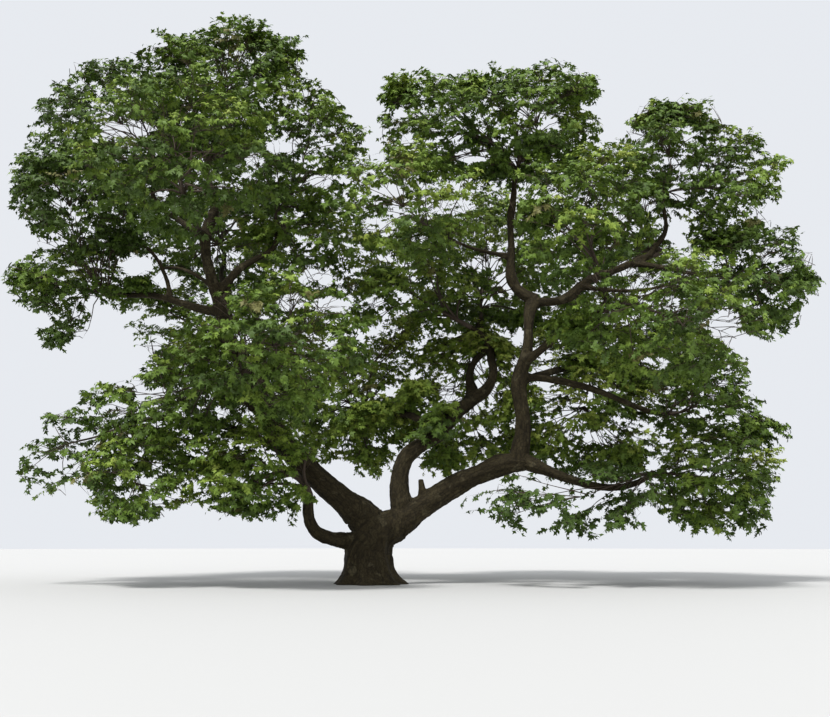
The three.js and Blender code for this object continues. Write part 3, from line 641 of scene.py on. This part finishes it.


# Bark of an old plane: dark grey brown, streaked along the limb, in small scales with paler patches. Its
# colours are darkened further with painted shade, as for wood standing in the crown's shade.
def barkFinish():
    material = bpy.data.materials.new("scalingBark")
    material.use_nodes = True
    tree = material.node_tree
    grain = addNode(tree, "Attribute", {}, attribute_name="grainPlace").outputs["Vector"]
    stretch = addNode(tree, "Mapping", {"Vector": grain, "Scale": (1.0, 1.0, 0.22)})
    streaks = addNode(tree, "TexNoise", {
        "Vector": stretch.outputs["Vector"], "Scale": 7.0, "Detail": 8.0, "Roughness": 0.62,
    })
    ramp = addNode(tree, "ValToRGB", {"Fac": streaks.outputs["Fac"]})
    ramp.color_ramp.elements[0].position = 0.32
    ramp.color_ramp.elements[1].position = 0.70
    ramp.color_ramp.elements.new(0.5)
    for element, colour in zip(ramp.color_ramp.elements, barkForm["colours"]):
        element.color = (*colour, 1)
    place = addNode(tree, "TexCoord", {}).outputs["Object"]
    patches = addNode(tree, "TexNoise", {"Vector": place, "Scale": 2.3, "Detail": 3.0})
    patchEdge = addNode(tree, "MapRange", {
        "Value": patches.outputs["Fac"], "From Min": 0.60, "From Max": 0.66, "To Max": 0.55,
    })
    patchy = addNode(tree, "Mix", {
        "Factor": patchEdge.outputs["Result"],
        "A": ramp.outputs["Color"],
        "B": (*barkForm["patch"], 1),
    }, data_type="RGBA")
    scaleStretch = addNode(tree, "Mapping", {"Vector": grain, "Scale": (1.0, 1.0, 0.45)})
    scales = addNode(tree, "TexVoronoi", {
        "Vector": scaleStretch.outputs["Vector"], "Scale": 11.0,
    }, feature="DISTANCE_TO_EDGE")
    crack = addNode(tree, "MapRange", {
        "Value": scales.outputs["Distance"], "From Max": 0.12, "To Min": 0.45,
    }).outputs["Result"]
    cracked = addNode(tree, "Mix", {
        "Factor": 1.0, "A": patchy.outputs["Result"], "B": crack,
    }, data_type="RGBA", blend_type="MULTIPLY")
    height = addNode(tree, "Math", {
        0: crack, 1: 0.6, 2: streaks.outputs["Fac"],
    }, operation="MULTIPLY_ADD")
    bump = addNode(tree, "Bump", {"Height": height.outputs["Value"], "Strength": 0.7, "Distance": 0.03})
    shader = tree.nodes["Principled BSDF"]
    shader.inputs["Roughness"].default_value = 0.9
    shader.inputs["Specular IOR Level"].default_value = 0.25
    tree.links.new(cracked.outputs["Result"], shader.inputs["Base Color"])
    tree.links.new(bump.outputs["Normal"], shader.inputs["Normal"])
    return material


def makeBark(name, forms, names, voxel, finish):
    piece = joinForms(forms, name)
    bpy.ops.object.modifier_add(type="REMESH")
    piece.modifiers[-1].mode = "VOXEL"
    piece.modifiers[-1].voxel_size = voxel
    bpy.ops.object.modifier_add(type="SMOOTH")
    piece.modifiers[-1].factor = barkForm["blendFactor"]
    piece.modifiers[-1].iterations = barkForm["blendRounds"]
    applyModifiers(piece)
    carveBark(piece, names)
    bpy.ops.object.shade_smooth()
    piece.data.materials.clear()
    piece.data.materials.append(finish)
    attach(piece, "root")
    piece.data.calc_loop_triangles()
    print(name, len(piece.data.loop_triangles), "triangles")
    return piece


bark = barkFinish()
trunkForms = [makeBole()] + [makeLimb(name) for name in mainBoughs]
trunkBark = makeBark("trunk_bark", trunkForms, ["trunk"] + mainBoughs, barkForm["trunkVoxel"], bark)
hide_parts("trunk", *mainBoughs)
limbForms = [makeLimb(name) for name in otherLimbs + finerBoughs]
limbBark = makeBark("limb_bark", limbForms, otherLimbs + finerBoughs, barkForm["limbVoxel"], bark)
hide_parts(*otherLimbs)


masses = {
    name: {
        "on": on, "heart": np.array(heart), "half": np.array(half), "leafiness": leafiness, "paintedLightAndShade": paintedLightAndShade,
        "tufts": np.array(tufts.get(name, []), float).reshape(-1, 5),
    }
    for name, on, heart, half, leafiness, paintedLightAndShade in massRows
}


# How far out points lie in a mass: 0 at its heart or a tuft's, 1 on its skin
def depthIn(mass, points):
    depth = np.linalg.norm((points - mass["heart"]) / mass["half"], axis=-1)
    for x, y, z, radius in mass["tufts"][:, :4]:
        depth = np.minimum(depth, np.linalg.norm(points - (x, y, z), axis=-1) / radius)
    return depth


# Points within a mass's skin that aren't deeper in a neighbour, with some slack in metres
def isOwn(name, points, skin, slack):
    own = depthIn(masses[name], points)
    mine = own <= skin
    for other, mass in masses.items():
        if other != name:
            room = min(*mass["half"], *masses[name]["half"])
            mine &= (depthIn(mass, points) - own) * room > -slack
    return mine


# Where the sight line through each point crosses the upright plane through the bole
def sightPlace(points):
    eye = np.array(photo["eye"])
    share = -eye[1] / (points[:, 1] - eye[1])
    return eye[[0, 2]] + (points[:, [0, 2]] - eye[[0, 2]]) * share[:, None]


def insideEdge(places, edge):
    inside = np.zeros(len(places), bool)
    x, z = places[:, 0], places[:, 1]
    for (ax, az), (bx, bz) in zip(edge, edge[1:] + edge[:1]):
        crosses = (az > z) != (bz > z)
        at = ax + (z - az) * (bx - ax) / (bz - az if bz != az else 1e-9)
        inside ^= crosses & (x < at)
    return inside


# The stem of each mass runs from its limb's tip to its heart and a little past it. Its radius and shift
# are shares of the tip's radius, and a tip that carries more masses than one has thinner stems.
stemForm = {
    "reach": 1.15,
    "leastReach": 0.3,
    "pull": 0.4,
    "sunk": 0.1,
    "radius": 0.9,
    "sharedRadius": 0.62,
    "sharedShift": 0.4,
    "tipRadius": 0.02,
    "stations": 9,
    "sides": 8,
}
stems = {}
for name, mass in masses.items():
    limb = limbs[mass["on"]]
    shared = sum(m["on"] == mass["on"] for m in masses.values()) > 1
    tip, arrive = limb["control"][3], direction(limb["arrive"])
    way = mass["heart"] - tip
    sideways = unit(way - arrive * (way @ arrive))
    foot = tip + sideways * (limb["thick"][1] * stemForm["sharedShift"] if shared else 0)
    reach = foot + (mass["heart"] - foot) * stemForm["reach"]
    pulled = foot + arrive * np.linalg.norm(way) * stemForm["pull"]
    stems[name] = {
        "control": np.array([foot - arrive * stemForm["sunk"], pulled, reach]),
        "radius": limb["thick"][1] * stemForm["sharedRadius" if shared else "radius"],
    }

clearing = {
    "layers": 3,  # of leaves that a sight line meets
    "bareStations": 25,
    "bareWidth": 1.1,  # of the limb's radius
    "bareMargin": 0.08,  # on top of that width
    "bareBehind": 0.2,
    "limbStations": 31,
    "offLimbs": 0.10,
    "block": 4000,
}
limbShares = np.linspace(0, 1, clearing["limbStations"])
limbSamples = np.concatenate([swayed(limbLine(name, limbShares)) for name in limbs])
limbSampleRadii = np.concatenate([limbRadius(name, limbShares) for name in limbs])


# Leaves seen outside the crown's edge, against a gap or in front of a bare stretch, and leaves in a limb.
# A sight line meets several layers of leaves, so a half open gap keeps fewer than half of them.
def leavesToDrop(points, chance, wobble):
    places = sightPlace(points)
    drop = ~insideEdge(places + wobble, crownEdge)
    for x, z, wide, high, openness in skyGaps:
        away = np.hypot((places[:, 0] - x) / wide, (places[:, 1] - z) / high)
        drop |= (away + wobble[:, 0] < 1.0) & (chance < 1 + math.log(openness) / clearing["layers"])
    for name, start, end, bareness in bareStretches:
        shares = np.linspace(start, end, clearing["bareStations"])
        line = swayed(limbLine(name, shares))
        gaps = np.linalg.norm(places[:, None] - sightPlace(line)[None], axis=2)
        nearest = gaps.argmin(1)
        width = limbRadius(name, shares)[nearest] * clearing["bareWidth"] + clearing["bareMargin"]
        front = points[:, 1] < line[nearest, 1] + clearing["bareBehind"]
        drop |= (gaps.min(1) < width) & front & (chance < bareness)
    for first in range(0, len(points), clearing["block"]):
        block = slice(first, first + clearing["block"])
        gaps = np.linalg.norm(points[block, None] - limbSamples[None], axis=2) - limbSampleRadii
        drop[block] |= gaps.min(1) < clearing["offLimbs"]
    return drop


# Ways out from a middle at the given turns and heights
def waysOut(turn, height):
    flat = np.sqrt(np.clip(1 - height**2, 0, 1))
    return np.stack([np.cos(turn) * flat, np.sin(turn) * flat, height], axis=1)


# Children along parents: each one's parent, its number there and how far along it sits
def childrenOf(parents, form):
    order = np.tile(np.arange(form["each"]), parents)
    parent = np.repeat(np.arange(parents), form["each"])
    return parent, order, np.linspace(form["first"], 1.0, form["each"])[order]


# Children's ways on: to left and right by turns, the last one straight ahead
def waysOn(random, ahead, order, form):
    aside = unit(np.cross(ahead, lift)) * np.where(order % 2, 1, -1)[:, None]
    aside *= (order < form["each"] - 1)[:, None]
    wander = random.normal(0, form["wander"], ahead.shape)
    return unit(ahead * form["ahead"] + aside * form["aside"] + wander - lift * form["droop"])


# How far along each parent its last child sits, or zero where it has none
def lastChild(parents, places, count):
    reach = np.zeros(count)
    np.maximum.at(reach, parents, places)
    return reach


# Lengths are in metres where they aren't shares. Pairs are the ends of a range, and "own" is the depth and
# the slack that isOwn takes.
lift = np.array([0, 0, 1.0])
growth = {"seed": 1907, "seedStep": 101, "goldenAngle": 2.39996}
boughletForm = {
    "perArea": 2.6,  # of a mass's mean half size squared
    "turns": (0, 0.5),
    "reach": 0.95,  # of the way from the heart to the mass's skin
    "reaches": (0.7, 1.0),
    "own": (1.0, 0.3),
    "back": 0.3,  # from abreast of its target, along the stem
    "starts": (0.2, 0.92),
    "first": {"stem": 0.7, "lift": 0.25, "pull": 0.35},
    "last": {"out": 0.8, "droop": 0.15, "pull": 0.3},
    "radius": 0.62,  # of the stem's
    "stemTaper": 0.75,
    "usualSpan": 2.5,
    "radii": (0.022, 0.08),
    "taper": 0.25,
    "stations": 6,
    "sides": 5,
}
puffForm = {"radius": 1.06, "sizes": (0.8, 1.15), "flatness": 0.62}
tuftForm = {"boughlets": 3, "spread": 0.4, "rise": 0.6, "puff": 0.75}
twigForm = {
    "each": 10,  # in a puff
    "heights": 1.5,  # downwards from the puff's top, in its half heights
    "turns": (0, 6.28),
    "lengths": (0.7, 1.05),
    "places": (0.5, 0.98),
    "own": (1.03, 0.6),
    "bow": 0.16,
    "wood": {"radius": 0.013, "stations": 3, "sides": 3},
}
shootForm = {
    "each": 4,  # on a twig
    "first": 0.38,
    "ahead": 0.75,
    "aside": 1.0,
    "wander": 0.28,
    "droop": 0.08,
    "length": 0.40,
    "lengths": (0.7, 1.2),
    "wood": {"radius": 0.007, "sides": 3},
}
leafForm = {
    "each": 8,  # on a shoot
    "fewest": 2,
    "fullEvery": 4,
    "first": 0.12,
    "ahead": 0.6,
    "aside": 0.9,
    "wander": 0.3,
    "droop": 0.35,
    "face": {"up": 0.55, "out": 0.85, "wander": 0.45},
    "sizes": (0.75, 1.2),
    "own": (1.07, 0.9),
    "wobble": 0.10,
    "pastBox": 0.1,
    "lowest": 0.6,
}
tones = {
    "middle": 0.39,
    "spread": {"puff": 0.13, "shoot": 0.12},
    # painted light: sprays higher in their puff and in their mass get lighter greens, as for tops in the
    # light
    "paintedTopLight": {"puff": 0.14, "mass": 0.14},
    "olive": 0.012,
}


def growMass(name, index):
    mass, stem = masses[name], stems[name]
    random = np.random.default_rng(growth["seed"] + index * growth["seedStep"])
    heart, half = mass["heart"], mass["half"]
    area = float(np.prod(half)) ** (2 / 3)
    count = round(boughletForm["perArea"] * area * mass["leafiness"])

    # Boughlets: targets spaced round the heart by the golden angle, and then some round each tuft's middle
    order = np.arange(count)
    height = 1 - 2 * (order + 0.5) / count
    turn = order * growth["goldenAngle"] + random.uniform(*boughletForm["turns"], count)
    out = waysOut(turn, height)
    reach = boughletForm["reach"] * random.uniform(*boughletForm["reaches"], (count, 1))
    targets = heart + out * half * reach
    puff = puffForm["radius"] * random.uniform(*puffForm["sizes"], count)
    kept = isOwn(name, targets, *boughletForm["own"])
    targets, out, puff = targets[kept], out[kept], puff[kept]
    for x, y, z, radius in mass["tufts"][:, :4]:
        for order in range(tuftForm["boughlets"]):
            turn = order * growth["goldenAngle"]
            spread = np.array([math.cos(turn), math.sin(turn), tuftForm["rise"] * math.sin(turn * 2)])
            place = np.array([x, y, z]) + spread * radius * tuftForm["spread"]
            targets = np.vstack([targets, place])
            out = np.vstack([out, unit(place - heart)])
            puff = np.append(puff, radius * tuftForm["puff"])
    count = len(targets)
    foot, end = stem["control"][0], stem["control"][-1]
    line = end - foot
    abreast = (targets - foot) @ line / (line @ line)
    starts = np.clip(abreast - boughletForm["back"], *boughletForm["starts"])
    feet = onCurves(stem["control"][None], starts)[0]
    span = np.linalg.norm(targets - feet, axis=1, keepdims=True)
    ahead = unit(targets - feet)
    first, last = boughletForm["first"], boughletForm["last"]
    firstWay = unit(unit(line) * first["stem"] + ahead + lift * first["lift"])
    lastWay = unit(out * last["out"] + ahead - lift * last["droop"])
    afterFoot = feet + firstWay * span * first["pull"]
    beforeTip = targets - lastWay * span * last["pull"]
    boughlets = np.stack([feet, afterFoot, beforeTip, targets], axis=1)
    radii = stem["radius"] * (1 - boughletForm["stemTaper"] * starts) * boughletForm["radius"]
    radii = np.clip(radii * np.sqrt(span[:, 0] / boughletForm["usualSpan"]), *boughletForm["radii"])

    # Twigs fan out of each boughlet's outer half into a flattened puff
    parent = np.repeat(np.arange(count), twigForm["each"])
    order = np.tile(np.arange(twigForm["each"]), count)
    height = 1 - twigForm["heights"] * (order + 0.5) / twigForm["each"]
    turn = order * growth["goldenAngle"] + random.uniform(*twigForm["turns"], count)[parent]
    fan = waysOut(turn, height) * (1, 1, puffForm["flatness"])
    fan = fan * puff[parent, None] * random.uniform(*twigForm["lengths"], (len(parent), 1))
    twigTips = targets[parent] + fan
    twigPlaces = random.uniform(*twigForm["places"], len(parent))
    twigFeet = onCurves(boughlets[parent], twigPlaces[:, None])[:, 0]
    kept = isOwn(name, twigTips, *twigForm["own"])
    parent, fan, twigPlaces = parent[kept], fan[kept], twigPlaces[kept]
    twigTips, twigFeet = twigTips[kept], twigFeet[kept]
    bow = np.linalg.norm(twigTips - twigFeet, axis=1, keepdims=True) * lift * twigForm["bow"]
    twigs = np.stack([twigFeet, (twigFeet + twigTips) / 2 + bow, twigTips], axis=1)

    # Shoots leave each twig to left and right, the last one straight on
    shootTwig, order, shootPlaces = childrenOf(len(twigs), shootForm)
    shootFeet = onCurves(twigs[shootTwig], shootPlaces[:, None])[:, 0]
    ahead = unit(twigs[shootTwig, 2] - twigs[shootTwig, 1])
    shootAhead = waysOn(random, ahead, order, shootForm)
    shootLength = shootForm["length"] * random.uniform(*shootForm["lengths"], (len(shootTwig), 1))
    shootTips = shootFeet + shootAhead * shootLength

    # Leaves stand to left and right along each shoot, faces up and a little outwards
    leafShoot, order, along = childrenOf(len(shootTwig), leafForm)
    bases = shootFeet[leafShoot] + (shootTips - shootFeet)[leafShoot] * along[:, None]
    run = waysOn(random, shootAhead[leafShoot], order, leafForm)
    outward = unit(fan[shootTwig[leafShoot]] + out[parent[shootTwig[leafShoot]]])
    way = leafForm["face"]
    face = lift * way["up"] + outward * way["out"] + random.normal(0, way["wander"], (len(leafShoot), 3))
    face = unit(face - run * (face * run).sum(1, keepdims=True))
    full = order % leafForm["fullEvery"] == 0
    size = np.where(full, leafKinds["full"]["length"], leafKinds["young"]["length"])
    size *= random.uniform(*leafForm["sizes"], len(leafShoot))
    bases = swayed(bases)
    middles = bases + run * size[:, None] * 0.5

    # What would leave the mass, fill a gap or lie in a limb is left out, and then bare twigs
    chance = random.uniform(0, 1, len(shootTwig))[leafShoot]
    wobble = random.normal(0, leafForm["wobble"], (len(leafShoot), 2))
    kept = isOwn(name, middles, *leafForm["own"]) & ~leavesToDrop(middles, chance, wobble)
    kept &= (middles > np.array(cadLow) - leafForm["pastBox"]).all(1)
    kept &= (middles < np.array(cadHigh) + leafForm["pastBox"]).all(1)
    kept &= middles[:, 2] > leafForm["lowest"]
    shootKept = np.bincount(leafShoot[kept], minlength=len(shootTwig)) >= leafForm["fewest"]
    kept &= shootKept[leafShoot]
    shootReach = lastChild(leafShoot[kept], along[kept], len(shootTwig))
    shootTips = shootFeet + (shootTips - shootFeet) * shootReach[:, None]
    twigReach = lastChild(shootTwig[shootKept], shootPlaces[shootKept], len(twigs))
    twigKept = twigReach > 0
    boughletReach = lastChild(parent[twigKept], twigPlaces[twigKept], count)
    boughletKept = boughletReach > 0
    stemReach = starts[boughletKept].max(initial=stemForm["leastReach"])

    # A spray's tint follows its puff at random, the painted light and shade of its mass and tuft, and
    # painted light that makes it lighter the higher it sits in its puff and in its mass
    puffTone = random.normal(0, tones["spread"]["puff"], count)
    # the tufts' painted light and shade is added to their puffs' random tone
    tuftPaintedLightAndShade = np.repeat(mass["tufts"][:, 4], tuftForm["boughlets"])
    puffTone[count - len(tuftPaintedLightAndShade):] += tuftPaintedLightAndShade
    oliveNumber = len(leafTints) - 1
    olive = random.uniform(0, 1, len(twigs)) < tones["olive"]
    heightInPuff = fan[:, 2] / puff[parent] / puffForm["flatness"]
    heightInMass = (targets[parent, 2] - heart[2]) / half[2]
    # the mass's painted light and shade shifts the tone of every spray in it
    tone = tones["middle"] + mass["paintedLightAndShade"] + puffTone[parent]
    tone += heightInPuff * tones["paintedTopLight"]["puff"] + heightInMass * tones["paintedTopLight"]["mass"]
    tone = tone[shootTwig] + random.normal(0, tones["spread"]["shoot"], len(shootTwig))
    tint = np.clip((tone * oliveNumber).astype(int), 0, oliveNumber - 1)
    tint = np.where(olive[shootTwig], oliveNumber, tint)[leafShoot]
    kinds = {"full": kept & full, "young": kept & ~full}
    return {
        "stem": (stem["control"][None], stemReach, stem["radius"]),
        "boughlets": (boughlets[boughletKept], boughletReach[boughletKept], radii[boughletKept]),
        "twigs": (twigs[twigKept], twigReach[twigKept]),
        "shoots": (shootFeet[shootKept], shootTips[shootKept]),
        "leaves": {
            kind: [values[mine] for values in (bases, run, face, size, tint)]
            for kind, mine in kinds.items()
        },
    }


# Round wood along many lines at once: lines is (count, stations, 3), each with a pointed end and a
# closed foot
def woodAlong(lines, radii, sides):
    count, stations = lines.shape[:2]
    ahead = unit(np.gradient(lines, axis=1))
    chord = unit(lines[:, -1] - lines[:, 0])
    helper = np.where(np.abs(chord[:, 2:3]) < 0.8, [[0.0, 0.0, 1.0]], [[1.0, 0.0, 0.0]])
    across = np.cross(chord, helper)[:, None, :]
    across = unit(across - ahead * (across * ahead).sum(2, keepdims=True))
    other = np.cross(ahead, across)
    turn = np.linspace(0, 2 * math.pi, sides, endpoint=False)
    ring = across[:, :-1, None] * np.cos(turn)[:, None] + other[:, :-1, None] * np.sin(turn)[:, None]
    rings = lines[:, :-1, None] + ring * radii[:, :-1, None, None]
    perLine = (stations - 1) * sides + 1
    points = np.concatenate([rings.reshape(count, -1, 3), lines[:, -1:]], axis=1)
    faces = []
    for station in range(stations - 1):
        for side in range(sides):
            here, there = station * sides + side, station * sides + (side + 1) % sides
            if station < stations - 2:
                faces.append((here, there, there + sides))
                faces.append((here, there + sides, here + sides))
            else:
                faces.append((here, there, perLine - 1))
    faces += [(0, side + 1, side) for side in range(1, sides - 1)]
    faces = np.array(faces)[None] + (np.arange(count) * perLine)[:, None, None]
    return points.reshape(-1, 3), faces.reshape(-1, 3)


def leavesFrom(kind, bases, run, face, size):
    shape = np.array(leafKinds[kind]["shape"])
    side = np.cross(run, face)
    points = (
        bases[:, None]
        + side[:, None] * (shape[:, 0:1] * size[:, None, None])
        + run[:, None] * (shape[:, 1:2] * size[:, None, None])
        + face[:, None] * (shape[:, 2:3] * size[:, None, None])
    )
    faces = np.array(leafKinds[kind]["faces"])[None] + (np.arange(len(bases)) * len(shape))[:, None, None]
    return points.reshape(-1, 3), faces.reshape(-1, 3)


# One mesh from arrays of points and triangles
def pieceFromArrays(name, points, faces, finishes, finishOf):
    mesh = bpy.data.meshes.new(name)
    mesh.vertices.add(len(points))
    mesh.vertices.foreach_set("co", points.astype(np.float32).ravel())
    mesh.loops.add(faces.size)
    mesh.loops.foreach_set("vertex_index", faces.astype(np.int32).ravel())
    mesh.polygons.add(len(faces))
    mesh.polygons.foreach_set("loop_start", np.arange(0, faces.size, 3, dtype=np.int32))
    for finish in finishes:
        mesh.materials.append(finish)
    mesh.polygons.foreach_set("material_index", np.asarray(finishOf, np.int32))
    mesh.update(calc_edges=True)
    mesh.validate()
    piece = bpy.data.objects.new(name, mesh)
    bpy.context.scene.collection.objects.link(piece)
    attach(piece, "root")
    return piece


def joined(parts):
    offset, points, faces = 0, [], []
    for partPoints, partFaces in parts:
        points.append(partPoints)
        faces.append(partFaces + offset)
        offset += len(partPoints)
    return np.concatenate(points), np.concatenate(faces)


def grownLines(control, reach, stations):
    return swayed(onCurves(control, np.linspace(0, reach, stations).T))


# A mass's stem, boughlets, twigs and shoots, each as far as it carries leaves
def woodOf(grown):
    control, reach, radius = grown["stem"]
    lines = grownLines(control, reach, stemForm["stations"])
    radii = radius + (stemForm["tipRadius"] - radius) * np.linspace(0, reach, stemForm["stations"])
    parts = [woodAlong(lines, radii[None], stemForm["sides"])]
    control, reach, radii = grown["boughlets"]
    lines = grownLines(control, reach, boughletForm["stations"])
    radii = radii[:, None] * np.linspace(1, boughletForm["taper"], boughletForm["stations"])
    parts.append(woodAlong(lines, radii, boughletForm["sides"]))
    twigs = grownLines(*grown["twigs"], twigForm["wood"]["stations"])
    shoots = np.stack([swayed(end) for end in grown["shoots"]], axis=1)
    for lines, wood in (twigs, twigForm["wood"]), (shoots, shootForm["wood"]):
        parts.append(woodAlong(lines, np.full(lines.shape[:2], wood["radius"]), wood["sides"]))
    return parts


# the leaf greens serve as random tones and as lit and shaded copies of one green: painted light and shade
leafFinishes = [plainFinish(f"leafGreen{i}", tint, 0.6) for i, tint in enumerate(leafTints)]
twigFinish = plainFinish("twigBrown", twigColour, 0.85)
total = 0
for part, members in crownParts.items():
    wood, foliage, tints, leafCount = [], [], [], 0
    for name in members:
        grown = growMass(name, list(masses).index(name))
        wood += woodOf(grown)
        for kind, (bases, run, face, size, tint) in grown["leaves"].items():
            foliage.append(leavesFrom(kind, bases, run, face, size))
            tints.append(np.repeat(tint, len(leafKinds[kind]["faces"])))
            leafCount += len(bases)
    nodes = [name + "_mass" for name in members]
    points, faces = joined(foliage)
    leaves = pieceFromArrays(part + "_leaves", points, faces, leafFinishes, np.concatenate(tints))
    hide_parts(*nodes)
    leafTriangles = len(faces)
    points, faces = joined(wood)
    twigs = pieceFromArrays(part + "_twigs", points, faces, [twigFinish], np.zeros(len(faces)))
    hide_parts(*nodes)
    total += leafTriangles + len(faces)
    print(part, leafCount, "leaves,", leafTriangles, "and", len(faces), "triangles")
print("crown", total, "triangles")


stage = {
    "floorRadius": 160.0,
    "floorSides": 96,
    "floorDrop": 0.004,
    "floorColour": (0.52, 0.515, 0.50),
    "airColour": (0.92, 0.95, 1.0),
    "airStrength": 0.87,
    "keyStrength": 3.45,
    "keySpread": 12,
    "keyTurn": (30, 0, -25),
}


def makeStage():
    deselectAll()
    size = {"vertices": stage["floorSides"], "radius": stage["floorRadius"]}
    bpy.ops.mesh.primitive_circle_add(**size, fill_type="NGON", location=(0, 0, -stage["floorDrop"]))
    floor = bpy.context.object
    floor.name = "floor"
    floor.data.materials.append(plainFinish("paleFloor", stage["floorColour"], 0.8))
    world = bpy.data.worlds.new("paleAir")
    world.use_nodes = True
    air = world.node_tree.nodes["Background"]
    air.inputs["Color"].default_value = (*stage["airColour"], 1)
    air.inputs["Strength"].default_value = stage["airStrength"]
    bpy.context.scene.world = world
    bpy.ops.object.light_add(type="SUN", rotation=[math.radians(a) for a in stage["keyTurn"]])
    key = bpy.context.object
    key.data.energy = stage["keyStrength"]
    key.data.angle = math.radians(stage["keySpread"])


def makeCamera():
    rise = math.atan((photo["horizonRow"] - photo["middleRow"]) / photo["focalPixels"])
    bpy.ops.object.camera_add(location=photo["eye"], rotation=(math.pi / 2 + rise, 0, 0))
    camera = bpy.context.object
    camera.data.lens = camera.data.sensor_width * photo["focalPixels"] / photo["width"]
    camera.data.clip_end = 1000
    bpy.context.scene.camera = camera


makeStage()
makeCamera()
bpy.context.scene.view_settings.view_transform = "Standard"
print("scene made")
